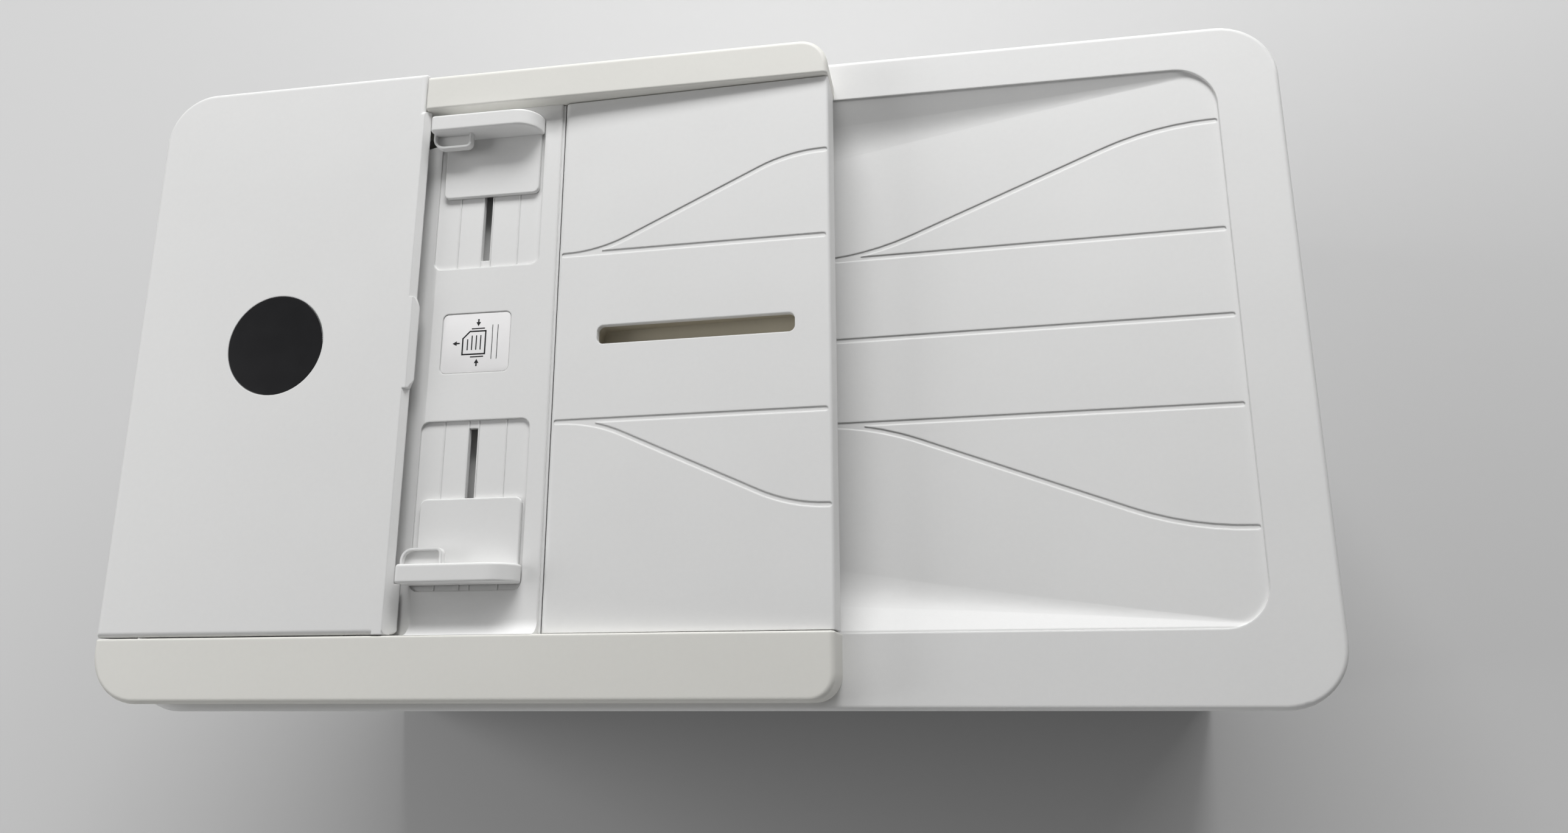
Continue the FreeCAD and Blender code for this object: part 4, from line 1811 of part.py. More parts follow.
def cartridge_door():
    """Door on the right of the front, hinged along its lower edge."""
    y, z = door_axis()
    gap = DOOR_GAP
    x0 = DOOR_LEFT + gap
    x1 = DOOR_LEFT + DOOR_WIDTH - gap
    front = y - DOOR_BARREL
    top = DOOR_BOTTOM + DOOR_HEIGHT - gap
    plate = block(x0, x1, front, front + DOOR_PLATE, z, top)
    barrel = rod_x(x0, x1, y, z, DOOR_BARREL)
    pin = rod_x(DOOR_LEFT - 3.5, DOOR_LEFT + DOOR_WIDTH + 3.5, y, z, DOOR_PIN)
    pieces = [plate, barrel, pin]
    for rib_x in (x0 + 1, (x0 + x1 - DOOR_RIB_WIDTH) / 2, x1 - DOOR_RIB_WIDTH - 1):
        pieces.append(block(rib_x, rib_x + DOOR_RIB_WIDTH, front + DOOR_PLATE, front + DOOR_PLATE + DOOR_RIB,
                            z + 3 * DOOR_BARREL, top - DOOR_BARREL))
    return join(*pieces)


def rear_door():
    """Door on the back whose ribs guide the sheet round the turn roller."""
    y, z = rear_axis()
    x0, x1 = rear_span()
    gap = DOOR_GAP
    back = y + DOOR_BARREL
    top = REAR_DOOR_BOTTOM + REAR_DOOR_HEIGHT - gap
    plate = block(x0 + gap, x1 - gap, back - DOOR_PLATE, back, z, top)
    barrel = rod_x(x0 + gap, x1 - gap, y, z, DOOR_BARREL)
    pin = rod_x(x0 - 3.5, x1 + 3.5, y, z, DOOR_PIN)
    reach = TURN_RADIUS + REAR_RIB_GAP
    start = math.atan2(z - TURN_Z, y - TURN_Y)
    low_y = TURN_Y + reach * math.cos(start)
    high = math.radians(REAR_RIB_TOP)
    high_y = TURN_Y + reach * math.cos(high)
    high_z = TURN_Z + reach * math.sin(high)
    wall = back - DOOR_PLATE
    rib_points = [(low_y, z), (wall, z), (wall, high_z + REAR_RIB_RISE),
                  (high_y, high_z + 2 * REAR_RIB_GAP), (high_y, TURN_Z),
                  (low_y, TURN_Z - 2)]
    pieces = [plate, barrel, pin]
    spread = x1 - x0 - 2 * REAR_RIB_MARGIN
    half = REAR_RIB_WIDTH / 2
    for index in range(REAR_RIBS):
        x = x0 + REAR_RIB_MARGIN + index * spread / (REAR_RIBS - 1)
        rib = along_x(rib_points, x - half, x + half)
        pieces.append(rib.cut(rod_x(x - 2 * half, x + 2 * half, TURN_Y, TURN_Z, reach)))
    return join(*pieces)


NODES = [
    base_pan, side_cover_left, side_cover_right, front_fascia, rear_cover, rubber_feet,
    output_tray, print_platen, chassis_beam, carriage_rod, encoder_strip, timing_belt, drive_motors,
    service_station, main_board, power_supply, rear_sockets, scanner_tub, scanner_bezel, scanner_glasses,
    scan_rod, scan_bar, carriage, black_cartridge, colour_cartridges, carriage_pulley, idler_pulley,
    feed_roller, feed_pinion, idler_gear, exit_roller, turn_roller, pick_arm, pick_roller,
    cassette, width_guide_left, width_guide_right, length_guide, output_extension, extension_stop,
    control_panel, touch_screen, power_button, cartridge_door, rear_door, lid_shell, lid_plate, backing_pad,
    feeder_frame, feeder_deck, hinge_pins, feeder_cover, cover_badge, document_tray, guide_back, guide_front,
    guide_pinion, feeder_drum, feeder_pick_roller, feeder_belt,
]


def main():
    """Build every piece and write it to its own file."""
    os.makedirs("parts", exist_ok=True)
    for make in NODES:
        shape = make()
        name = make.__name__
        shape.exportStep("parts/" + name + ".step")
        print(name, len(shape.Solids), shape.isValid(), round(shape.Volume))


main()
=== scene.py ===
"""Dresses the inkjet printer: finishes for its solids, its small trim, the studio and the camera."""
import math

import bmesh
import bpy
import numpy as np
from mathutils import Matrix, Vector


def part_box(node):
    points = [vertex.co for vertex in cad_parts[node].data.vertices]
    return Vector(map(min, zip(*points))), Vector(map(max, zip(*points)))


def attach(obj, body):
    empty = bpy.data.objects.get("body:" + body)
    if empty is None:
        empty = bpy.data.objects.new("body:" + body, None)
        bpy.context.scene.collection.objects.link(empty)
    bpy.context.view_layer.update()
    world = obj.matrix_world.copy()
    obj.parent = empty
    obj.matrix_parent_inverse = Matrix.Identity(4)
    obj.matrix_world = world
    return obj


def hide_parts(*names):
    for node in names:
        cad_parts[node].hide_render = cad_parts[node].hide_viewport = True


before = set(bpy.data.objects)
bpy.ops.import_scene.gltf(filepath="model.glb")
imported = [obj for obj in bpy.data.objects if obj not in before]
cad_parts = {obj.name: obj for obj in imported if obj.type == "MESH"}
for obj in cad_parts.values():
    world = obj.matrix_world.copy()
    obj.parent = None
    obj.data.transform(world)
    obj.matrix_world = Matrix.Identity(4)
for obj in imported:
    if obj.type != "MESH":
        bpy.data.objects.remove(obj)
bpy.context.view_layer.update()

bl_info = {
    "name": "Inkjet printer finishes",
    "version": (1, 0, 0),
    "blender": (4, 5, 0),
    "location": "View3D > Sidebar > Printer",
    "description": "Finishes, trim, studio and camera for the inkjet printer",
    "category": "Object",
}

MM = 0.001
QUARTER_TURN = math.pi / 2
SMOOTH_ANGLE = math.radians(40)
WELD_REACH = 0.001 * MM

# Camera: the photograph's width in pixels, the film's width in millimetres and the nearest thing seen.
PHOTO_WIDTH = 2576
SENSOR_WIDTH = 36.0
CLIP_START = 0.01

# Studio: where each lamp stands and its two sides, clouding of the floor, and how fast the backdrop in the
# sky fades upwards.
LAMPS = {
    "window": ((0.10, 1.60, 1.15), (1.2, 0.6)),
    "corner": ((0.70, 0.90, 0.95), (0.8, 0.6)),
    "side": ((-1.30, 0.00, 1.00), (0.8, 0.8)),
    "front": ((0.25, -2.20, 0.60), (1.8, 0.9)),
}
FLOOR_CLOUD = 0.8
SKY_FADE = 4.0

# Document tray: its hinge line, its round hinge edge and its sloping upper face.
TRAY_HINGE_X = -62.2 * MM
TRAY_HINGE_Z = 289.8 * MM
TRAY_KNUCKLE = 3.2 * MM
TRAY_PROUD = 0.5 * MM
TRAY_RISE = 4.0 * MM
TRAY_THICK = 3.4 * MM

# Trough under the slot in the document tray: its inner outline.
TROUGH_LEFT = -43.3 * MM
TROUGH_RIGHT = 56.4 * MM
TROUGH_FRONT = 9.2 * MM
TROUGH_BACK = 19.4 * MM
TROUGH_CORNER = 3.4 * MM

# Bare plate on the back: its middle, its sides and the form of its film.
PLATE_X = 196.0 * MM
PLATE_Z = 96.0 * MM
PLATE_SIDES = (84.0 * MM, 46.0 * MM)
PLATE_THICK = 0.25 * MM
PLATE_CORNER = 3.0 * MM
PLATE_EDGE = 0.06 * MM

# Label: the recess in the deck that it lies in, and the form of its film.
LABEL_LEFT = -125.2 * MM
LABEL_RIGHT = -88.7 * MM
LABEL_FRONT = -1.5 * MM
LABEL_BACK = 30.1 * MM
LABEL_FLOOR = 292.0 * MM
LABEL_CORNER = 2.6 * MM
LABEL_EDGE = 0.05 * MM

# Sign on the label, measured from the label's middle: a sheet with a cut corner, its rows, a bar at each
# side of it, three arrows and two long lines.
SIGN_LINE = 0.75 * MM
SIGN_THIN = 0.6 * MM
SIGN_HAIR = 0.35 * MM
SHEET_LEFT = -7.0 * MM
SHEET_RIGHT = 5.0 * MM
SHEET_EDGE = 6.0 * MM
SHEET_CUT = 3.6 * MM
SHEET_LAP = 0.37 * MM
CUT_LAP = 0.2 * MM
ROW_COUNT = 4
ROW_START = -4.4 * MM
ROW_STEP = 2.3 * MM
ROW_REACH = 3.8 * MM
ROW_SHORT = 2.0 * MM
BAR_LEFT = -2.6 * MM
BAR_RIGHT = 4.4 * MM
BAR_AWAY = 7.4 * MM
ARROW_X = 0.9 * MM
ARROW_AWAY = 8.6 * MM
ARROW_LEFT = -12.4 * MM
ARROW_HEAD = 2.2 * MM
ARROW_HALF = 1.25 * MM
ARROW_TAIL = 1.6 * MM
LONG_LINES = (8.6 * MM, 11.4 * MM)
LONG_REACH = 9.0 * MM

# Strip in the seam between the feeder deck and the document tray.
SEAM_DROP = 1.0 * MM
SEAM_PLAY = 0.4 * MM
SEAM_REACH = 5.0 * MM
SEAM_STEPS = 8

# Keeper plate under the racks of the paper guides.
KEEPER_TOP = 282.5 * MM
KEEPER_THICK = 1.5 * MM
KEEPER_WIDTH = 34.0 * MM
KEEPER_LENGTH = 182.0 * MM
KEEPER_CORNER = 5.0 * MM
KEEPER_EDGE = 0.3 * MM

# Lens of the power light.
LENS_SIDES = (4.6 * MM, 1.4 * MM)
LENS_THICK = 0.4 * MM
LENS_CORNER = 0.686 * MM
LENS_EDGE = 0.3 * MM
LENS_DROP = 4.2 * MM

# Colours of the small and inner pieces, in linear light.
ROLLER_WHITE = (0.62, 0.62, 0.60)
ROD_STEEL = (0.62, 0.62, 0.63)
BEAM_STEEL = (0.50, 0.51, 0.52)
MOTOR_STEEL = (0.42, 0.42, 0.43)
SUPPLY_STEEL = (0.38, 0.39, 0.40)
SCREW_STEEL = (0.30, 0.30, 0.31)
GLASS_TINT = (0.93, 0.97, 0.95)
STRIP_CLEAR = (0.55, 0.55, 0.56)
STRIP_MARK = (0.10, 0.10, 0.11)
SCREEN_DARK = (0.006, 0.007, 0.008)
SCREEN_TILE = (0.03, 0.05, 0.07)
TILE_LIGHT = (0.06, 0.16, 0.22)
SIGN_LIGHT = (0.75, 0.80, 0.82)
BUTTON_GREY = (0.100, 0.100, 0.105)
BUTTON_MARK = (0.62, 0.62, 0.62)
LENS_DULL = (0.50, 0.52, 0.54)
LENS_CLEAR = (0.62, 0.64, 0.66)
GLOW_DULL = (0.26, 0.34, 0.40)
GLOW_CLEAR = (0.34, 0.42, 0.48)
INK_BLACK = (0.016, 0.016, 0.017)
INK_CYAN = (0.02, 0.20, 0.42)
INK_MAGENTA = (0.42, 0.02, 0.15)
INK_YELLOW = (0.60, 0.45, 0.02)
PAD_DULL = (0.70, 0.70, 0.69)
PAD_CLEAR = (0.76, 0.76, 0.75)

# Marks of the encoder strip and tracks of the circuit board.
ENCODER_WAVE = 3.768 * MM
BOARD_SCALE = 120.0
BOARD_TRACK = 0.035


def colour_setting(name, description, default):
    """A colour that a user may change."""
    return bpy.props.FloatVectorProperty(name=name, description=description, default=default,
                                         subtype="COLOR", size=3, min=0, max=1)


def length_setting(name, description, default, least=0.0):
    """A length in metres that a user may change."""
    return bpy.props.FloatProperty(name=name, description=description, default=default, unit="LENGTH",
                                   min=least)


def angle_setting(name, description, degrees):
    """An angle that a user may change."""
    return bpy.props.FloatProperty(name=name, description=description, default=math.radians(degrees),
                                   subtype="ANGLE")


def power_setting(name, description, watts):
    """The power of a lamp, which a user may change."""
    return bpy.props.FloatProperty(name=name, description=description, default=watts, unit="POWER", min=0)


class PrinterColours(bpy.types.PropertyGroup):
    """Colours of the printer's finishes, in linear light."""

    lid_white: colour_setting("Lid white", "Plastic of the lid, cover and tray", (0.790, 0.790, 0.784))
    rail_white: colour_setting("Rail white", "Warmer plastic of the feeder's rails", (0.765, 0.757, 0.716))
    body_white: colour_setting("Body white", "Plastic of the sides, back, scanner", (0.620, 0.620, 0.611))
    body_dark: colour_setting("Body dark", "Plastic of the front, cassette and base", (0.026, 0.027, 0.030))
    engine_black: colour_setting("Engine black", "Plastic of the print engine", (0.012, 0.012, 0.013))
    guide_grey: colour_setting("Guide grey", "Plastic of the cassette's guides", (0.160, 0.165, 0.170))
    badge_black: colour_setting("Badge black", "Lacquer of the round badge", (0.011, 0.011, 0.012))
    gear_ivory: colour_setting("Gear ivory", "Plastic of the gears and pulleys", (0.70, 0.66, 0.55))
    rubber_black: colour_setting("Rubber black", "Rubber of the belts and feet", (0.014, 0.014, 0.014))
    tyre_grey: colour_setting("Tyre grey", "Rubber of the paper rollers", (0.085, 0.085, 0.088))
    plate_silver: colour_setting("Plate silver", "Film of the bare plate on the back", (0.42, 0.42, 0.43))
    board_green: colour_setting("Board green", "Lacquer of the circuit board", (0.016, 0.110, 0.045))
    label_white: colour_setting("Label white", "Film of the label on the deck", (0.880, 0.872, 0.872))
    label_ink: colour_setting("Label ink", "Printing on the label", (0.013, 0.013, 0.014))
    slot_beige: colour_setting("Slot beige", "Trough under the tray's slot", (0.470, 0.432, 0.345))
    floor: colour_setting("Floor", "Plain pale floor", (0.62, 0.62, 0.62))
    backdrop: colour_setting("Backdrop", "Pale background far from the printer", (0.70, 0.70, 0.70))


class PrinterSizes(bpy.types.PropertyGroup):
    """Sizes of the finishes and of the trim, in metres."""

    grain: length_setting("Grain", "Spacing of the plastics' fine texture", 0.55 * MM, least=0.05 * MM)
    grain_height: length_setting("Grain height", "Height of the plastics' fine texture", 0.016 * MM)
    cloud: length_setting("Cloud", "Spacing of the plastics' clouding", 60 * MM, least=1 * MM)
    speck: length_setting("Speck", "Spacing of the plastics' specks", 2.2 * MM, least=0.1 * MM)
    edge_round: length_setting("Edge round", "Radius that the light sees on moulded edges", 0.9 * MM)
    label_gap: length_setting("Label gap", "Gap between the label and the edge of its recess", 0.4 * MM)
    label_thick: length_setting("Label thickness", "Thickness of the label's film", 0.25 * MM)
    ink_thick: length_setting("Ink thickness", "Height of the printing over its film", 0.03 * MM)
    screw_head: length_setting("Screw head", "Diameter of the screw heads", 6.0 * MM)
    screw_inset: length_setting("Screw inset", "From the edges of the rear cover to its screws", 13.0 * MM)
    trough_depth: length_setting("Trough depth", "From the tray's top to the trough's right end", 7.0 * MM)
    trough_fall: length_setting("Trough fall", "How much deeper the trough's left end is", 5.0 * MM)
    trough_wall: length_setting("Trough wall", "Thickness of the trough's wall", 1.2 * MM)


class PrinterStudio(bpy.types.PropertyGroup):
    """Camera, lamps and floor."""

    camera_place: bpy.props.FloatVectorProperty(
        name="Camera", description="Where the camera stands", default=(0.13391, -0.15729, 0.790),
        subtype="TRANSLATION", unit="LENGTH", size=3)
    camera_yaw: angle_setting("Yaw", "Sideways tilt of the camera", 9.6088)
    camera_pitch: angle_setting("Pitch", "Lift of the camera from straight down", 14.0236)
    camera_roll: angle_setting("Roll", "Turn of the camera in its own picture", -0.1622)
    focal_pixels: bpy.props.FloatProperty(
        name="Focal length", description="Focal length in pixels of the photograph", default=1820.0, min=1)
    window_power: power_setting("Window lamp", "Power of the wide lamp behind the printer", 34.5)
    corner_power: power_setting("Corner lamp", "Power of the lamp behind on the right", 3.2)
    side_power: power_setting("Side lamp", "Power of the soft lamp on the left", 6.4)
    front_power: power_setting("Front lamp", "Power of the wide low lamp in front", 8.0)
    sky_level: bpy.props.FloatProperty(
        name="Sky", description="Strength of the even light all round", default=0.12, min=0)
    floor_size: length_setting("Floor size", "Side of the square floor", 14.0, least=1.0)
    backdrop_near: length_setting("Backdrop from", "From the middle to where the backdrop starts", 0.35)
    backdrop_far: length_setting("Backdrop to", "From the middle to where the floor is all backdrop", 1.5)


def math_step(operation, swap=False):
    """A method that adds one Math node on a shade and another value, the other first where swap is set."""
    def step(shade, other=None):
        pair = (other, shade) if swap else (shade, other)
        sockets = {index: value for index, value in enumerate(pair) if value is not None}
        return shade.finish.value("ShaderNodeMath", sockets, {"operation": operation})
    return step


class Shade:
    """A number that varies over a surface: arithmetic on it adds Math nodes to its finish."""

    def __init__(self, finish, socket):
        self.finish = finish
        self.socket = socket

    __add__ = math_step("ADD")
    __sub__ = math_step("SUBTRACT")
    __rsub__ = math_step("SUBTRACT", swap=True)
    __mul__ = math_step("MULTIPLY")
    __truediv__ = math_step("DIVIDE")
    __pow__ = math_step("POWER")
    __gt__ = math_step("GREATER_THAN")
    __lt__ = math_step("LESS_THAN")
    __abs__ = math_step("ABSOLUTE")
    most = math_step("MAXIMUM")
    least = math_step("MINIMUM")
    root = math_step("SQRT")


def any_of(shades):
    """The largest of several values: 1 where any of several tests holds."""
    largest = shades[0]
    for shade in shades[1:]:
        largest = largest.most(shade)
    return largest


class Finish:
    """A material being written: one surface shader and the nodes that feed it."""

    def __init__(self, name, **constants):
        self.material = bpy.data.materials.new(name)
        self.material.use_nodes = True
        self.tree = self.material.node_tree
        self.tree.nodes.clear()
        self.shader = self.node("ShaderNodeBsdfPrincipled")
        self.output = self.node("ShaderNodeOutputMaterial", {"Surface": self.shader.outputs[0]})
        self.place = self.node("ShaderNodeTexCoord").outputs["Object"]
        self.surface(**constants)

    def node(self, kind, sockets=None, settings=None):
        """Adds a node: its settings are set first, then its sockets are set or linked."""
        made = self.tree.nodes.new(kind)
        for name, setting in (settings or {}).items():
            setattr(made, name, setting)
        for name, value in (sockets or {}).items():
            self.plug(made.inputs[name], value)
        return made

    def plug(self, socket, value):
        """Links a shade or socket, or sets a constant; a colour of three channels becomes opaque."""
        if isinstance(value, Shade):
            value = value.socket
        if isinstance(value, bpy.types.NodeSocket):
            self.tree.links.new(value, socket)
        elif socket.type == "RGBA" and len(value) == 3:
            socket.default_value = (*value, 1.0)
        else:
            socket.default_value = value

    def value(self, kind, sockets=None, settings=None, output=0):
        """Adds a node and gives one of its outputs as a shade."""
        return Shade(self, self.node(kind, sockets, settings).outputs[output])

    def surface(self, **inputs):
        """Sets or links the shader's sockets: base_color becomes Base Color."""
        for name, value in inputs.items():
            title = name.replace("_", " ").title().replace("Ior", "IOR")
            self.plug(self.shader.inputs[title], value)

    def tint(self, share, colour, dark, light):
        """Drifts the base colour with a share, from dark times the colour to light times it."""
        self.surface(base_color=self.mix(share, scaled(colour, dark), scaled(colour, light)))

    def gloss(self, roughness, *swings):
        """Swings the roughness about a middle value: a swing is a share from 0 to 1 and its whole width."""
        for share, width in swings:
            roughness = (share - 0.5) * width + roughness
        self.surface(roughness=roughness)

    def noise(self, spacing, detail=2.0, stretch=None):
        """Cloudy noise from 0 to 1, its features about one spacing apart, stretched along axes if asked."""
        place = self.place
        if stretch is not None:
            place = self.node("ShaderNodeMapping", {"Vector": place, "Scale": stretch}).outputs[0]
        return self.value("ShaderNodeTexNoise", {"Vector": place, "Scale": 1.0 / spacing, "Detail": detail})

    def axes(self):
        """The object's three coordinates in metres."""
        split = self.node("ShaderNodeSeparateXYZ", {"Vector": self.place})
        return [Shade(self, output) for output in split.outputs]

    def mix(self, share, first, second):
        """A colour between two colours: a Mix node takes colours at inputs 6 and 7 and gives output 2."""
        mixer = self.node("ShaderNodeMix", {0: share, 6: first, 7: second}, {"data_type": "RGBA"})
        return mixer.outputs[2]

    def rays(self, *names):
        """1 for a ray of any of the named kinds, else 0."""
        path = self.node("ShaderNodeLightPath")
        return any_of([Shade(self, path.outputs[name]) for name in names])

    def relief(self, height, distance, edge=0.0):
        """Feeds the normal with a bump of that height, over edges that look rounded by a radius."""
        sockets = {"Height": height, "Distance": distance, "Strength": 1.0}
        if edge:
            rounded = self.node("ShaderNodeBevel", {"Radius": edge}, {"samples": 4})
            sockets["Normal"] = rounded.outputs[0]
        self.surface(normal=self.node("ShaderNodeBump", sockets).outputs[0])


class Sky(Finish):
    """The world being written: the same nodes and arithmetic, on the sky."""

    def __init__(self, name):
        self.world = bpy.data.worlds.new(name)
        self.world.use_nodes = True
        self.tree = self.world.node_tree
        self.tree.nodes.clear()
        self.place = self.node("ShaderNodeTexCoord").outputs["Generated"]


def colours():
    """The printer's colour settings."""
    return bpy.context.scene.printer_colours


def sizes():
    """The printer's size settings."""
    return bpy.context.scene.printer_sizes


def studio():
    """The studio settings."""
    return bpy.context.scene.printer_studio


def scaled(colour, factor):
    """A colour made lighter or darker."""
    return tuple(min(1.0, channel * factor) for channel in colour)


def paint(material, *nodes):
    """Gives CAD nodes a finish in every material slot."""
    for name in nodes:
        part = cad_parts[name]
        if not part.material_slots:
            part.data.materials.append(material)
        for material_slot in part.material_slots:
            material_slot.material = material


def moulded_plastic(name, colour, roughness=0.52, grain=1.0, height=1.0):
    """Spark-eroded plastic: fine grain in the normal, faint clouding in colour and gloss, rounded edges."""
    size = sizes()
    finish = Finish(name, IOR=1.49)
    fine = finish.noise(size.grain * grain, 3.0)
    cloud = finish.noise(size.cloud, 3.0)
    speck = finish.noise(size.speck, 2.0)
    share = (cloud * 0.6 + speck * 0.4 - 0.25) * 1.6
    finish.tint(share, colour, 0.975, 1.02)
    finish.gloss(roughness, (cloud, 0.10), (fine, 0.10))
    finish.relief(fine, size.grain_height * height, size.edge_round)
    return finish.material


def bright_metal(name, colour, roughness, brushed, spacing=0.25 * MM):
    """Turned or rolled metal: long fine scratches along the axis that is brushed."""
    finish = Finish(name, metallic=1.0)
    stretch = [1.0, 1.0, 1.0]
    stretch[brushed] = 0.02
    lines = finish.noise(spacing, 3.0, stretch)
    cloud = finish.noise(25 * MM, 2.0)
    finish.tint(cloud, colour, 0.88, 1.05)
    finish.gloss(roughness, (lines, 0.22), (cloud, 0.08))
    finish.relief(lines, 0.004 * MM)
    return finish.material


def soft_rubber(name, colour, roughness=0.78):
    """Ground rubber: fine pits and a dusty bloom."""
    finish = Finish(name, IOR=1.52)
    pits = finish.noise(0.35 * MM, 3.0)
    bloom = finish.noise(14 * MM, 3.0)
    finish.tint(bloom, colour, 0.8, 1.35)
    finish.gloss(roughness, (bloom, 0.16))
    finish.relief(pits, 0.03 * MM, 0.25 * MM)
    return finish.material


def gear_plastic(name, colour):
    """Waxy plastic with faint flow marks."""
    finish = Finish(name, IOR=1.48, subsurface_weight=0.08, subsurface_scale=0.6 * MM)
    flow = finish.noise(6 * MM, 4.0)
    finish.tint(flow, colour, 0.93, 1.04)
    finish.gloss(0.38, (flow, 0.15))
    finish.relief(finish.noise(0.8 * MM), 0.008 * MM, 0.2 * MM)
    return finish.material


def clear_glass(name, tint):
    """Float glass with a faint smear in its gloss."""
    finish = Finish(name, transmission_weight=1.0, IOR=1.46, base_color=tint)
    smear = finish.noise(40 * MM, 4.0)
    finish.gloss(0.025, (smear, 0.05))
    finish.relief(finish.noise(30 * MM), 0.002 * MM)
    return finish.material


def corner_ring(low, high, corner, steps=6):
    """Round a rectangle with rounded corners: each point's corner centre, and its way out from there."""
    turn = np.linspace(0, QUARTER_TURN, steps)
    angles = np.concatenate([turn + quarter * QUARTER_TURN for quarter in range(4)])
    signs = np.repeat([(1, 1), (-1, 1), (-1, -1), (1, -1)], steps, axis=0)
    low = np.asarray(low, float)[:2]
    high = np.asarray(high, float)[:2]
    centre = (low + high) / 2 + signs * ((high - low) / 2 - corner)
    return centre.T, np.stack([np.cos(angles), np.sin(angles)])


def rounded_outline(low, high, corner):
    """Points round a rectangle with rounded corners: each corner centre plus corner times its way out."""
    centre, way = corner_ring(low, high, corner)
    return centre + corner * way


def rounded_box(name, low, high, corner, edge, edge_steps=4, least_corner=0.02):
    """A closed plate: rounded rectangles stacked in z and drawn in by a quarter-round at both faces.

    At t over the section, a point is its corner's centre plus (corner - inset(t)) times its way out, at
    height z(t). The inset and z follow a quarter circle of radius edge, and the corner keeps a small share
    of its radius.
    """
    centre, way = corner_ring(low, high, corner)
    arc = np.linspace(0, QUARTER_TURN, edge_steps)
    inset = np.concatenate([edge * (1 - np.sin(arc)), edge * (1 - np.cos(arc))])
    height = np.concatenate([low[2] + edge * (1 - np.cos(arc)), high[2] - edge * (1 - np.sin(arc))])
    reach = np.maximum(corner - inset, least_corner * corner)[:, None]
    x = centre[0] + reach * way[0]
    y = centre[1] + reach * way[1]
    z = np.broadcast_to(height[:, None], x.shape)
    return grid_mesh(name, x, y, z, closed_round=True, caps=True)


def grid_mesh(name, x, y, z, closed_round=False, caps=False):
    """A mesh from grids of points: rows run up, columns run round, with caps on the end rows if asked."""
    rows, columns = x.shape
    points = np.stack([x, y, z], axis=-1).reshape(-1, 3)
    index = np.arange(rows * columns).reshape(rows, columns)
    ahead = np.roll(index, -1, axis=1)
    last = columns if closed_round else columns - 1
    corners = [index[:-1, :last], ahead[:-1, :last], ahead[1:, :last], index[1:, :last]]
    polygons = np.stack(corners, axis=-1).reshape(-1, 4).tolist()
    if caps:
        polygons.append(index[0, ::-1].tolist())
        polygons.append(index[-1].tolist())
    mesh = bpy.data.meshes.new(name)
    mesh.from_pydata(points.tolist(), [], polygons)
    mesh.update()
    return mesh


def place_piece(name, meshes, material, body, smooth=True, weld=False):
    """Joins meshes into one piece that rides on a body, with its finish."""
    piece = bpy.data.objects.new(name, joined(name, meshes, weld))
    bpy.context.scene.collection.objects.link(piece)
    piece.data.materials.append(material)
    piece.data.polygons.foreach_set("use_smooth", np.full(len(piece.data.polygons), smooth))
    if smooth:
        piece.data.set_sharp_from_angle(angle=SMOOTH_ANGLE)
    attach(piece, body)
    return piece


def joined(name, meshes, weld):
    """One mesh from several, which are used up, with the points that meet welded if asked."""
    form = bmesh.new()
    for mesh in meshes:
        form.from_mesh(mesh)
        bpy.data.meshes.remove(mesh)
    if weld:
        bmesh.ops.remove_doubles(form, verts=form.verts, dist=WELD_REACH)
    whole = bpy.data.meshes.new(name)
    form.to_mesh(whole)
    form.free()
    return whole


def tray_top(x):
    """Height of the document tray's upper face at x: it rises evenly from its hinge to its right end."""
    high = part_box("document_tray")[1]
    return high.z - TRAY_RISE * (high.x - x) / (high.x - TRAY_HINGE_X)


def flat_sheet(name, outline, low, high):
    """A flat shape of some thickness: its outline at two heights, walled and capped."""
    x, y = np.transpose(outline)
    z = np.stack([np.full_like(x, low), np.full_like(x, high)])
    return grid_mesh(name, np.stack([x, x]), np.stack([y, y]), z, closed_round=True, caps=True)


def stroke(name, start, end, width, low, high):
    """A straight printed line between two points, as a thin four-sided sheet."""
    along = (end - start) / np.linalg.norm(end - start)
    across = np.array([-along[1], along[0]]) * width / 2
    return flat_sheet(name, [start - across, end - across, end + across, start + across], low, high)


def stand(mesh, place, front):
    """Stands a flat-lying mesh up in its place, so that its upper face looks to the front or the back."""
    turn = QUARTER_TURN if front else -QUARTER_TURN
    mesh.transform(Matrix.Translation(place) @ Matrix.Rotation(turn, 4, "X"))
    return mesh


def standing_plate(name, sides, thick, corner, edge, place, front):
    """A thin rounded plate that stands with the middle of its back in a place."""
    half = np.array((*sides, 0.0)) / 2
    mesh = rounded_box(name, -half, half + (0.0, 0.0, thick), corner, edge)
    return stand(mesh, place, front)


class PRINTER_OT_white_shells(bpy.types.Operator):
    """Paints the white textured plastic of the lid, feeder and body"""

    bl_idname = "printer.white_shells"
    bl_label = "White shells"

    def execute(self, context):
        colour = colours()
        paint(moulded_plastic("lid_white_plastic", colour.lid_white),
              "lid_shell", "document_tray", "feeder_cover", "feeder_deck")
        paint(moulded_plastic("rail_white_plastic", colour.rail_white), "feeder_frame")
        paint(moulded_plastic("guide_white_plastic", colour.lid_white, 0.42, grain=0.8, height=0.6),
              "guide_back", "guide_front")
        paint(moulded_plastic("body_white_plastic", colour.body_white), "side_cover_left",
              "side_cover_right", "rear_cover", "scanner_tub", "scanner_bezel", "rear_door")
        under = scaled(colour.body_white, 0.95)
        paint(moulded_plastic("lid_plate_plastic", under, 0.45, grain=1.4, height=0.5), "lid_plate")
        return {"FINISHED"}


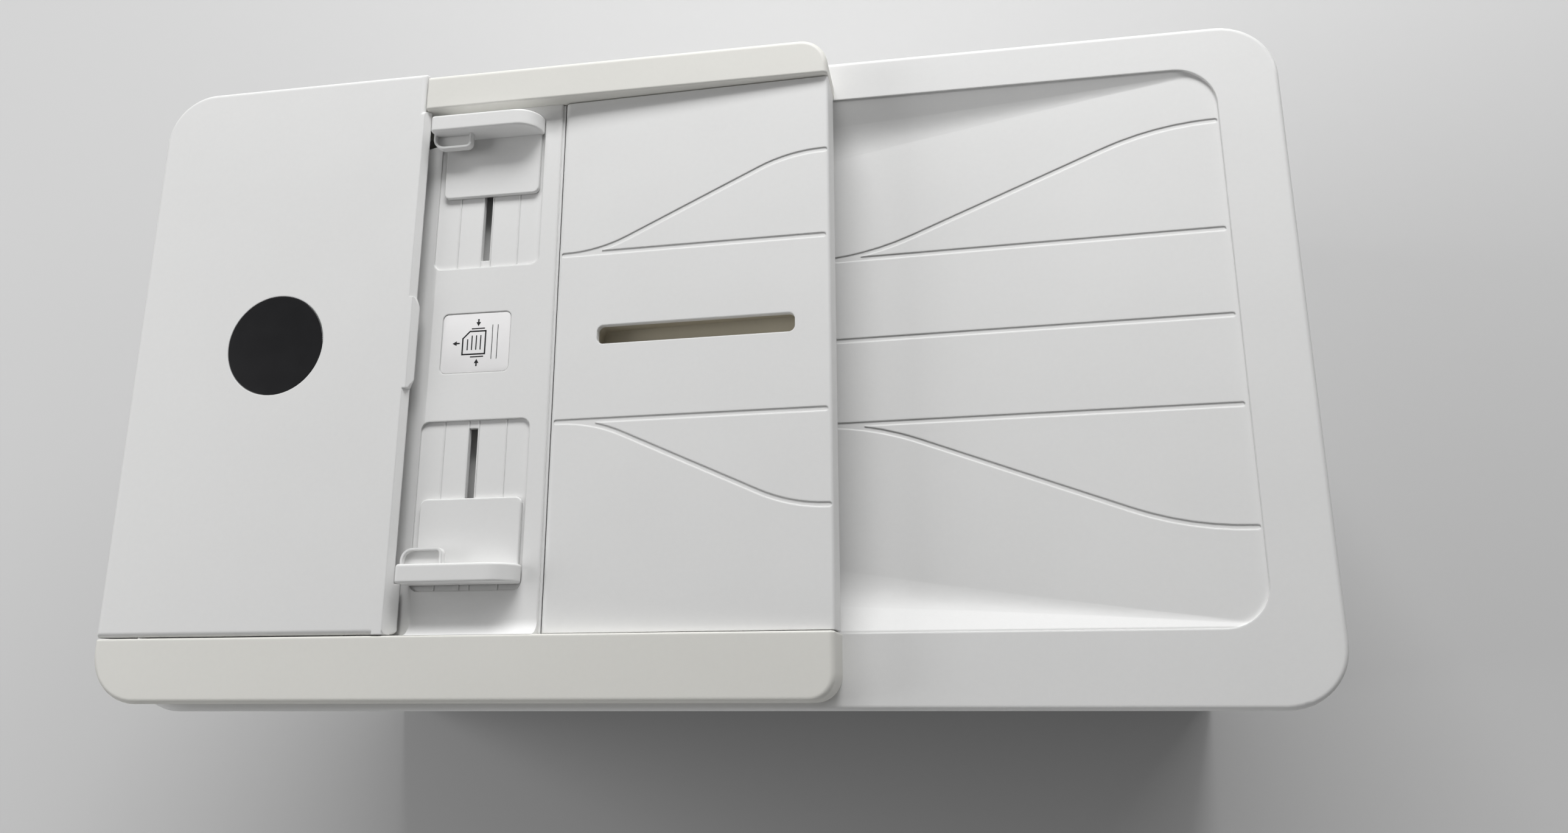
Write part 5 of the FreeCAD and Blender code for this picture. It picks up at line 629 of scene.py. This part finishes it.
class PRINTER_OT_dark_shells(bpy.types.Operator):
    """Paints the dark plastic of the front, cassette, trays and print engine"""

    bl_idname = "printer.dark_shells"
    bl_label = "Dark shells"

    def execute(self, context):
        colour = colours()
        paint(moulded_plastic("body_dark_plastic", colour.body_dark, 0.46, grain=1.3, height=1.4),
              "front_fascia", "cassette", "output_tray", "output_extension", "extension_stop",
              "control_panel", "cartridge_door", "base_pan")
        paint(moulded_plastic("engine_black_plastic", colour.engine_black, 0.42, grain=1.5),
              "carriage", "print_platen", "service_station", "scan_bar", "pick_arm", "rear_sockets")
        paint(moulded_plastic("guide_grey_plastic", colour.guide_grey, 0.44),
              "width_guide_left", "width_guide_right", "length_guide")
        return {"FINISHED"}


class PRINTER_OT_badge(bpy.types.Operator):
    """Paints the round badge with black lacquer under a clear coat"""

    bl_idname = "printer.badge"
    bl_label = "Badge"

    def execute(self, context):
        finish = Finish("badge_black_lacquer", IOR=1.5, specular_ior_level=0.1,
                        coat_weight=1.0, coat_roughness=0.03)
        haze = finish.noise(9 * MM, 4.0)
        finish.tint(haze, colours().badge_black, 1.0, 1.4)
        finish.gloss(0.22, (haze, 0.12))
        finish.relief(haze, 0.002 * MM, 0.3 * MM)
        paint(finish.material, "cover_badge")
        return {"FINISHED"}


class PRINTER_OT_metal(bpy.types.Operator):
    """Paints the rods, pins, beam, motors and power supply"""

    bl_idname = "printer.metal"
    bl_label = "Metal"

    def execute(self, context):
        paint(bright_metal("polished_steel", ROD_STEEL, 0.20, 0), "carriage_rod", "scan_rod", "hinge_pins")
        paint(bright_metal("zinc_sheet_steel", BEAM_STEEL, 0.38, 0, spacing=0.6 * MM), "chassis_beam")
        paint(bright_metal("motor_can_steel", MOTOR_STEEL, 0.34, 1, spacing=0.5 * MM), "drive_motors")
        paint(bright_metal("supply_can_steel", SUPPLY_STEEL, 0.45, 1, spacing=0.7 * MM), "power_supply")
        return {"FINISHED"}


class PRINTER_OT_rubber(bpy.types.Operator):
    """Paints the feet, belts and paper rollers"""

    bl_idname = "printer.rubber"
    bl_label = "Rubber"

    def execute(self, context):
        colour = colours()
        paint(soft_rubber("black_rubber", colour.rubber_black), "rubber_feet", "timing_belt", "feeder_belt")
        paint(soft_rubber("roller_grey_rubber", colour.tyre_grey, roughness=0.7),
              "pick_roller", "feeder_pick_roller", "feed_roller", "exit_roller")
        return {"FINISHED"}


class PRINTER_OT_gears(bpy.types.Operator):
    """Paints the gears, pulleys and plastic rollers"""

    bl_idname = "printer.gears"
    bl_label = "Gears and rollers"

    def execute(self, context):
        paint(gear_plastic("gear_ivory_plastic", colours().gear_ivory),
              "guide_pinion", "feed_pinion", "idler_gear", "carriage_pulley", "idler_pulley")
        paint(gear_plastic("roller_white_plastic", ROLLER_WHITE), "turn_roller", "feeder_drum")
        return {"FINISHED"}


class PRINTER_OT_glass(bpy.types.Operator):
    """Paints the scanner glasses and the clear encoder strip"""

    bl_idname = "printer.glass"
    bl_label = "Glass"

    def execute(self, context):
        paint(clear_glass("scan_float_glass", GLASS_TINT), "scanner_glasses")
        finish = Finish("encoder_film", transmission_weight=0.7, IOR=1.4)
        marks = finish.value("ShaderNodeTexWave", {"Vector": finish.place, "Scale": 1.0 / ENCODER_WAVE},
                             {"bands_direction": "X"})
        finish.surface(base_color=finish.mix(marks, STRIP_CLEAR, STRIP_MARK))
        finish.gloss(0.20, (marks, 0.1))
        paint(finish.material, "encoder_strip")
        return {"FINISHED"}


class PRINTER_OT_electronics(bpy.types.Operator):
    """Paints the circuit board, touch screen and power button"""

    bl_idname = "printer.electronics"
    bl_label = "Electronics"

    def execute(self, context):
        self.board()
        self.screen()
        self.button()
        return {"FINISHED"}

    def board(self):
        """Green lacquer over copper tracks: the joints of a brick pattern give the tracks."""
        finish = Finish("circuit_board", IOR=1.5)
        upright = finish.node("ShaderNodeMapping",
                              {"Vector": finish.place, "Rotation": (0.0, QUARTER_TURN, QUARTER_TURN)})
        bricks = {"offset": 0.37, "squash": 0.6, "squash_frequency": 3}
        sockets = {"Vector": upright.outputs[0], "Scale": BOARD_SCALE, "Mortar Size": BOARD_TRACK}
        tracks = finish.value("ShaderNodeTexBrick", sockets, bricks, output=1)
        finish.tint(tracks, colours().board_green, 1.0, 2.2)
        finish.gloss(0.34, (tracks, 0.12))
        finish.relief(tracks, 0.03 * MM)
        paint(finish.material, "main_board")

    def screen(self):
        """Dark glass with a lit bar over four lit tiles, each cut from the distance to its centre."""
        low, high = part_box("touch_screen")
        middle = (low + high) / 2
        width = high.x - low.x
        tall = high.z - low.z
        pitch = width / 4.6
        bar_up = middle.z + 0.38 * tall
        bar_thick = 0.035 * tall
        bar_reach = 0.42 * width
        tile_up = middle.z - 0.04 * tall
        tile_reach = 0.34 * pitch
        finish = Finish("screen_glass", IOR=1.5, coat_weight=1.0, coat_roughness=0.02,
                        emission_strength=0.5)
        across, _, up = finish.axes()
        lit = [(abs(up - bar_up) < bar_thick) * (abs(across - middle.x) < bar_reach)]
        signs = []
        for index, column in enumerate((-1.5, -0.5, 0.5, 1.5)):
            side = abs(across - (middle.x + column * pitch))
            rise = abs(up - tile_up)
            lit.append(side.most(rise) < tile_reach)
            signs.append(self.sign(index, side, rise, pitch))
        lit = any_of(lit)
        smear = finish.noise(12 * MM, 3.0)
        finish.surface(base_color=finish.mix(lit, SCREEN_DARK, SCREEN_TILE))
        tiles = finish.mix(lit, (0.0, 0.0, 0.0), TILE_LIGHT)
        finish.surface(emission_color=finish.mix(any_of(signs), tiles, SIGN_LIGHT))
        finish.gloss(0.09, (smear, 0.06))
        paint(finish.material, "touch_screen")

    def sign(self, index, side, rise, pitch):
        """A plain sign on a tile: a full page, a page with a scan line, a page with two rows, or a ring."""
        line = 0.022 * pitch
        page = (side - 0.12 * pitch).most(rise - 0.16 * pitch)
        outline = abs(page) < line
        scan_reach = 0.22 * pitch
        row_away = 0.06 * pitch
        row_reach = 0.08 * pitch
        ring_radius = 0.14 * pitch
        if index == 0:
            return page < line
        if index == 1:
            return outline.most((rise < line) * (side < scan_reach))
        if index == 2:
            return outline.most((abs(rise - row_away) < 0.8 * line) * (side < row_reach))
        return abs((side * side + rise * rise).root() - ring_radius) < 1.6 * line

    def button(self):
        """Grey button with a ring, open at the top, and a bar, cut from the distance to its centre."""
        low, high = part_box("power_button")
        middle = (low + high) / 2
        radius = (high.x - low.x) / 2
        line = 0.06 * radius
        ring_radius = 0.42 * radius
        gap_half = 0.16 * radius
        bar_up = 0.36 * radius
        bar_half = 0.22 * radius
        finish = Finish("button_grey_plastic", IOR=1.48)
        across, _, up = finish.axes()
        side = across - middle.x
        rise = up - middle.z
        reach = (side * side + rise * rise).root()
        gap = (abs(side) < gap_half) * (rise > 0.0)
        ring = (abs(reach - ring_radius) < line) * (1 - gap)
        bar = (abs(side) < line) * (abs(rise - bar_up) < bar_half)
        fine = finish.noise(0.5 * MM)
        finish.surface(base_color=finish.mix(ring.most(bar), BUTTON_GREY, BUTTON_MARK))
        finish.gloss(0.45, (fine, 0.1))
        finish.relief(fine, 0.008 * MM, 0.3 * MM)
        paint(finish.material, "power_button")


class PRINTER_OT_cartridges(bpy.types.Operator):
    """Paints the ink cartridges with plain coloured bands"""

    bl_idname = "printer.cartridges"
    bl_label = "Cartridges"

    def execute(self, context):
        shell = moulded_plastic("cartridge_black_plastic", INK_BLACK, roughness=0.36, grain=1.2)
        paint(shell, "black_cartridge")
        low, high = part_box("colour_cartridges")
        third = (high.x - low.x) / 3
        band_foot = high.z - 0.28 * (high.z - low.z)
        finish = Finish("cartridge_band_plastic", IOR=1.49)
        across, _, up = finish.axes()
        hue = finish.mix(across > low.x + third, INK_CYAN, INK_MAGENTA)
        hue = finish.mix(across > low.x + 2 * third, hue, INK_YELLOW)
        fine = finish.noise(0.6 * MM)
        finish.surface(base_color=finish.mix(up > band_foot, INK_BLACK, hue))
        finish.gloss(0.40, (fine, 0.12))
        finish.relief(fine, 0.012 * MM, 0.35 * MM)
        paint(finish.material, "colour_cartridges")
        return {"FINISHED"}


class PRINTER_OT_lid_pad(bpy.types.Operator):
    """Makes the white foam pad under the lid, crowned and rounded at its edges"""

    bl_idname = "printer.lid_pad"
    bl_label = "Lid pad"

    def execute(self, context):
        finish = Finish("pad_white_film", IOR=1.45, sheen_weight=0.2, sheen_roughness=0.6)
        weave = finish.noise(1.1 * MM, 3.0)
        cloud = finish.noise(70 * MM, 3.0)
        finish.surface(base_color=finish.mix(cloud, PAD_DULL, PAD_CLEAR))
        finish.gloss(0.6, (weave, 0.1))
        finish.relief(weave, 0.03 * MM)
        pad = place_piece("lid_pad", self.faces(), finish.material, "lid", weld=True)
        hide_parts("backing_pad")
        return {"FINISHED"}

    def faces(self, count=41, power=16):
        """Two crowned faces: over (u, v) from -1 to 1 the half thickness is h (1 - u^p)^.5 (1 - v^p)^.5."""
        low, high = (np.array(corner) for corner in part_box("backing_pad"))
        middle = (low + high) / 2
        half = (high - low) / 2
        line = np.sin(np.linspace(-QUARTER_TURN, QUARTER_TURN, count))
        u, v = np.meshgrid(line, line)
        thick = half[2] * np.sqrt(np.clip(1 - u ** power, 0, 1)) * np.sqrt(np.clip(1 - v ** power, 0, 1))
        x = middle[0] + half[0] * u
        y = middle[1] + half[1] * v
        upper = grid_mesh("upper", x, y, middle[2] + thick)
        lower = grid_mesh("lower", x[:, ::-1], y[:, ::-1], middle[2] - thick[:, ::-1])
        return [upper, lower]


class PRINTER_OT_deck_label(bpy.types.Operator):
    """Makes the small label in the deck: a white film with a plain sign of a sheet and arrows"""

    bl_idname = "printer.deck_label"
    bl_label = "Deck label"

    def execute(self, context):
        size = sizes()
        gap = size.label_gap
        top = LABEL_FLOOR + size.label_thick
        film = rounded_box("film", (LABEL_LEFT + gap, LABEL_FRONT + gap, LABEL_FLOOR),
                           (LABEL_RIGHT - gap, LABEL_BACK - gap, top), LABEL_CORNER, LABEL_EDGE)
        finish = Finish("label_film", IOR=1.5)
        cloud = finish.noise(9 * MM, 3.0)
        finish.tint(cloud, colours().label_white, 0.97, 1.02)
        finish.gloss(0.35, (cloud, 0.1))
        finish.relief(finish.noise(1.5 * MM), 0.006 * MM)
        place_piece("deck_label", [film], finish.material, "lid")
        middle = np.array((LABEL_LEFT + LABEL_RIGHT, LABEL_FRONT + LABEL_BACK)) / 2
        self.printing(middle, top, top + size.ink_thick)
        return {"FINISHED"}

    def printing(self, middle, low, high):
        """A sheet with a cut corner, with bars and arrows about it and two long lines beside it."""
        pieces = []

        def line(start, end, width=SIGN_LINE):
            pieces.append(stroke("line", middle + start, middle + end, width, low, high))

        def arrow(tip, way):
            tip = np.array(tip)
            way = np.array(way)
            back = tip - ARROW_HEAD * way
            side = ARROW_HALF * np.array((-way[1], way[0]))
            pieces.append(flat_sheet("head", middle + [tip, back + side, back - side], low, high))
            line(back, back - ARROW_TAIL * way)

        line((SHEET_LEFT, -SHEET_EDGE), (SHEET_RIGHT, -SHEET_EDGE))
        line((SHEET_LEFT + SHEET_CUT, SHEET_EDGE), (SHEET_RIGHT, SHEET_EDGE))
        line((SHEET_RIGHT, -SHEET_EDGE - SHEET_LAP), (SHEET_RIGHT, SHEET_EDGE + SHEET_LAP))
        line((SHEET_LEFT, -SHEET_EDGE - SHEET_LAP), (SHEET_LEFT, SHEET_EDGE - SHEET_CUT))
        line((SHEET_LEFT - CUT_LAP, SHEET_EDGE - SHEET_CUT - CUT_LAP),
             (SHEET_LEFT + SHEET_CUT + CUT_LAP, SHEET_EDGE + CUT_LAP))
        for row in range(ROW_COUNT):
            x = ROW_START + ROW_STEP * row
            line((x, -ROW_REACH), (x, ROW_SHORT if row == 0 else ROW_REACH), SIGN_THIN)
        for y in (-BAR_AWAY, BAR_AWAY):
            line((BAR_LEFT, y), (BAR_RIGHT, y), SIGN_THIN)
        arrow((ARROW_LEFT, 0.0), (-1.0, 0.0))
        arrow((ARROW_X, ARROW_AWAY), (0.0, -1.0))
        arrow((ARROW_X, -ARROW_AWAY), (0.0, 1.0))
        for x in LONG_LINES:
            line((x, -LONG_REACH), (x, LONG_REACH), SIGN_HAIR)
        finish = Finish("label_printing", IOR=1.45)
        patch = finish.noise(0.6 * MM)
        finish.tint(patch, colours().label_ink, 1.0, 1.8)
        finish.gloss(0.40, (patch, 0.1))
        place_piece("label_print", pieces, finish.material, "lid", smooth=False)


class PRINTER_OT_tray_trough(bpy.types.Operator):
    """Makes the bare trough under the document tray's slot: two outlines walled between four heights"""

    bl_idname = "printer.tray_trough"
    bl_label = "Tray trough"

    def execute(self, context):
        size = sizes()
        low = np.array((TROUGH_LEFT, TROUGH_FRONT))
        high = np.array((TROUGH_RIGHT, TROUGH_BACK))
        wall = size.trough_wall
        outer = rounded_outline(low - wall, high + wall, TROUGH_CORNER + wall)
        inner = rounded_outline(low, high, TROUGH_CORNER)
        x = np.stack([outer[0], outer[0], inner[0], inner[0]])
        y = np.stack([outer[1], outer[1], inner[1], inner[1]])
        floor = size.trough_depth + size.trough_fall * (high[0] - x) / (high[0] - low[0])
        rim = np.full_like(x[1], TRAY_THICK)
        z = tray_top(x) - np.stack([floor[0] + wall, rim, rim, floor[3]])
        mesh = grid_mesh("trough", x, y, z, closed_round=True, caps=True)
        finish = moulded_plastic("trough_beige_plastic", colours().slot_beige, roughness=0.6)
        place_piece("tray_trough", [mesh], finish, "document_tray", smooth=False)
        return {"FINISHED"}


class PRINTER_OT_rack_keeper(bpy.types.Operator):
    """Makes the plate on the end of the pinion's stud that holds the guides' racks up under the deck"""

    bl_idname = "printer.rack_keeper"
    bl_label = "Rack keeper"

    def execute(self, context):
        low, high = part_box("guide_pinion")
        middle = (low + high) / 2
        half_x = KEEPER_WIDTH / 2
        half_y = KEEPER_LENGTH / 2
        mesh = rounded_box("keeper", (middle.x - half_x, middle.y - half_y, KEEPER_TOP - KEEPER_THICK),
                           (middle.x + half_x, middle.y + half_y, KEEPER_TOP), KEEPER_CORNER, KEEPER_EDGE)
        finish = moulded_plastic("keeper_white_plastic", colours().lid_white, roughness=0.6)
        place_piece("rack_keeper", [mesh], finish, "lid")
        return {"FINISHED"}


class PRINTER_OT_seam_strip(bpy.types.Operator):
    """Makes the strip in the seam between the feeder deck and the document tray's round hinge edge"""

    bl_idname = "printer.seam_strip"
    bl_label = "Seam strip"

    def execute(self, context):
        deck_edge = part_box("feeder_deck")[1].x
        tray_low, tray_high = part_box("document_tray")
        reach = TRAY_KNUCKLE + SEAM_PLAY
        rise = tray_top(TRAY_HINGE_X) - TRAY_PROUD - SEAM_DROP - TRAY_HINGE_Z
        lean = np.linspace(math.asin(rise / reach), 0.0, SEAM_STEPS)
        arc_x = TRAY_HINGE_X - reach * np.cos(lean)
        arc_z = TRAY_HINGE_Z + reach * np.sin(lean)
        foot = TRAY_HINGE_Z - SEAM_REACH
        profile_x = np.concatenate([[deck_edge], arc_x, [arc_x[-1], deck_edge]])
        profile_z = np.concatenate([[arc_z[0]], arc_z, [foot, foot]])
        x = np.stack([profile_x, profile_x])
        z = np.stack([profile_z, profile_z])
        y = np.stack([np.full_like(profile_x, tray_low.y), np.full_like(profile_x, tray_high.y)])
        mesh = grid_mesh("strip", x, y, z, closed_round=True, caps=True)
        finish = moulded_plastic("strip_white_plastic", colours().lid_white)
        place_piece("seam_strip", [mesh], finish, "lid")
        return {"FINISHED"}


class PRINTER_OT_back_trim(bpy.types.Operator):
    """Makes the screws of the rear cover and the bare plate beside the rear door"""

    bl_idname = "printer.back_trim"
    bl_label = "Back trim"

    def execute(self, context):
        low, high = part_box("rear_cover")
        inset = sizes().screw_inset
        heads = []
        for x in (low.x + inset, (low.x + high.x) / 2, high.x - inset):
            for z in (low.z + inset, high.z - inset):
                heads.append(stand(self.screw_mesh(), (x, high.y, z), front=False))
        steel = bright_metal("screw_steel", SCREW_STEEL, 0.32, 0, spacing=0.3 * MM)
        place_piece("rear_screws", heads, steel, "body")
        self.plate(high.y)
        return {"FINISHED"}

    def screw_mesh(self, rings=16, columns=64):
        """A domed head with a cross cut: at share s of the radius it is H (1 - d s^2), less the cut."""
        radius = sizes().screw_head / 2
        height = 0.55 * radius
        dome = 0.5
        eye = 0.04
        cut_half = 0.13
        cut_reach = 0.62
        cut_depth = 0.45 * height
        ring = np.concatenate([[1.0], np.linspace(1.0, eye, rings)])
        angle = np.linspace(0, 4 * QUARTER_TURN, columns, endpoint=False)
        s, a = np.meshgrid(ring, angle, indexing="ij")
        u = s * np.cos(a)
        v = s * np.sin(a)
        cut = (np.minimum(np.abs(u), np.abs(v)) < cut_half) & (s < cut_reach)
        z = height * (1 - dome * s ** 2) - cut_depth * cut
        z[0] = 0.0
        return grid_mesh("screw", radius * u, radius * v, z, closed_round=True, caps=True)

    def plate(self, face):
        """A bare silver film on the back, between the rear door and the end beside it."""
        mesh = standing_plate("plate", PLATE_SIDES, PLATE_THICK, PLATE_CORNER, PLATE_EDGE,
                              (PLATE_X, face, PLATE_Z), front=False)
        finish = Finish("plate_silver_film", metallic=0.6)
        lines = finish.noise(0.4 * MM, 3.0, (0.03, 1.0, 1.0))
        finish.tint(lines, colours().plate_silver, 0.92, 1.06)
        finish.gloss(0.42, (lines, 0.16))
        finish.relief(lines, 0.003 * MM)
        place_piece("back_plate", [mesh], finish.material, "body")


class PRINTER_OT_power_light(bpy.types.Operator):
    """Makes the small lit lens under the power button"""

    bl_idname = "printer.power_light"
    bl_label = "Power light"

    def execute(self, context):
        low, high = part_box("power_button")
        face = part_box("control_panel")[0].y
        place = ((low.x + high.x) / 2, face, low.z - LENS_DROP)
        mesh = standing_plate("lens", LENS_SIDES, LENS_THICK, LENS_CORNER, LENS_EDGE, place, front=True)
        finish = Finish("lens_milky_plastic", IOR=1.49, emission_strength=1.0)
        cloud = finish.noise(1.2 * MM, 2.0)
        finish.surface(base_color=finish.mix(cloud, LENS_DULL, LENS_CLEAR))
        finish.surface(emission_color=finish.mix(cloud, GLOW_DULL, GLOW_CLEAR))
        finish.gloss(0.35, (cloud, 0.1))
        place_piece("power_light", [mesh], finish.material, "control_panel")
        return {"FINISHED"}


class PRINTER_OT_stage(bpy.types.Operator):
    """Makes the floor, the lamps, the sky and the camera"""

    bl_idname = "printer.stage"
    bl_label = "Studio and camera"

    def execute(self, context):
        self.floor()
        self.sky()
        self.lamps()
        self.camera()
        context.scene.view_settings.view_transform = "Standard"
        return {"FINISHED"}

    def floor(self):
        """A flat pale sheet under the feet."""
        half = studio().floor_size / 2
        line = np.array([-half, half])
        x, y = np.meshgrid(line, line)
        mesh = grid_mesh("floor", x, y, np.zeros_like(x))
        finish = Finish("floor_paint", roughness=0.75)
        cloud = finish.noise(FLOOR_CLOUD, 2.0)
        finish.tint(cloud, colours().floor, 0.985, 1.015)
        self.fade(finish)
        sheet = bpy.data.objects.new("floor", mesh)
        mesh.materials.append(finish.material)
        bpy.context.scene.collection.objects.link(sheet)

    def fade(self, finish):
        """Shows the floor as an even backdrop far from the printer: the share goes up with the distance."""
        setting = studio()
        x, y, _ = finish.axes()
        away = (x * x + y * y).root()
        share = (away - setting.backdrop_near) / (setting.backdrop_far - setting.backdrop_near)
        share = share.most(0.0).least(1.0)
        smooth = share * share * (3.0 - share * 2.0)
        seen = finish.rays("Is Camera Ray", "Is Glossy Ray", "Is Transmission Ray")
        pale = finish.node("ShaderNodeEmission", {"Color": colours().backdrop, "Strength": 1.0})
        both = finish.node("ShaderNodeMixShader",
                           {0: seen * smooth, 1: finish.shader.outputs[0], 2: pale.outputs[0]})
        finish.plug(finish.output.inputs["Surface"], both.outputs[0])

    def sky(self):
        """An even dim light; the camera sees the backdrop instead, and so do gloss and glass low down."""
        level = studio().sky_level
        finish = Sky("studio_sky")
        height = finish.axes()[2]
        low_down = (1.0 - abs(height)) ** SKY_FADE
        seen = finish.rays("Is Camera Ray")
        shown = seen.most(finish.rays("Is Glossy Ray", "Is Transmission Ray") * low_down)
        hue = finish.mix(shown, (level, level, level), colours().backdrop)
        light = finish.node("ShaderNodeBackground", {"Color": hue, "Strength": 1.0})
        finish.node("ShaderNodeOutputWorld", {"Surface": light.outputs[0]})
        bpy.context.scene.world = finish.world

    def lamps(self):
        """A wide lamp behind, smaller ones at the back right and the left, and a wide low one in front."""
        setting = studio()
        for name, (place, sides) in LAMPS.items():
            self.lamp(f"{name}_lamp", place, sides, getattr(setting, f"{name}_power"))

    def lamp(self, name, place, sides, power):
        """A flat lamp that looks at the middle of the lid, its first side level."""
        light = bpy.data.lights.new(name, "AREA")
        light.shape = "RECTANGLE"
        light.size, light.size_y = sides
        light.energy = power
        holder = bpy.data.objects.new(name, light)
        bpy.context.scene.collection.objects.link(holder)
        lid_low, lid_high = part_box("lid_shell")
        way = (lid_low + lid_high) / 2 - Vector(place)
        holder.location = place
        holder.rotation_euler = way.to_track_quat("-Z", "Y").to_euler()

    def camera(self):
        """A camera at the photograph's place, turned by roll, yaw and pitch from straight down."""
        setting = studio()
        lens = bpy.data.cameras.new("photo_camera")
        lens.sensor_width = SENSOR_WIDTH
        lens.lens = setting.focal_pixels / PHOTO_WIDTH * SENSOR_WIDTH
        lens.clip_start = CLIP_START
        holder = bpy.data.objects.new("photo_camera", lens)
        bpy.context.scene.collection.objects.link(holder)
        turn = (Matrix.Rotation(setting.camera_roll, 4, "Z") @ Matrix.Rotation(setting.camera_yaw, 4, "Y")
                @ Matrix.Rotation(setting.camera_pitch, 4, "X"))
        holder.matrix_world = Matrix.Translation(setting.camera_place) @ turn
        bpy.context.scene.camera = holder


class PRINTER_PT_finishes(bpy.types.Panel):
    """Lists the printer's finishing steps and settings"""

    bl_idname = "PRINTER_PT_finishes"
    bl_label = "Printer"
    bl_space_type = "VIEW_3D"
    bl_region_type = "UI"
    bl_category = "Printer"

    def draw(self, context):
        for step in STEPS:
            self.layout.operator(step.bl_idname)
        for group in (colours(), sizes(), studio()):
            for name in group.bl_rna.properties.keys():
                if name not in ("rna_type", "name"):
                    self.layout.prop(group, name)


STEPS = (PRINTER_OT_white_shells, PRINTER_OT_dark_shells, PRINTER_OT_badge, PRINTER_OT_metal,
         PRINTER_OT_rubber, PRINTER_OT_gears, PRINTER_OT_glass, PRINTER_OT_electronics,
         PRINTER_OT_cartridges, PRINTER_OT_lid_pad, PRINTER_OT_deck_label, PRINTER_OT_tray_trough,
         PRINTER_OT_rack_keeper, PRINTER_OT_seam_strip, PRINTER_OT_back_trim, PRINTER_OT_power_light,
         PRINTER_OT_stage)
SETTINGS = {
    "printer_colours": PrinterColours,
    "printer_sizes": PrinterSizes,
    "printer_studio": PrinterStudio,
}
KINDS = (*SETTINGS.values(), *STEPS, PRINTER_PT_finishes)


def register():
    """Registers the settings, the steps and the panel."""
    for kind in KINDS:
        bpy.utils.register_class(kind)
    for name, kind in SETTINGS.items():
        setattr(bpy.types.Scene, name, bpy.props.PointerProperty(type=kind))


def unregister():
    """Takes the settings, the steps and the panel away again."""
    for name in SETTINGS:
        delattr(bpy.types.Scene, name)
    for kind in reversed(KINDS):
        bpy.utils.unregister_class(kind)


def main():
    """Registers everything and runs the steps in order."""
    register()
    for step in STEPS:
        group, name = step.bl_idname.split(".")
        getattr(getattr(bpy.ops, group), name)()


if __name__ == "__main__":
    main()
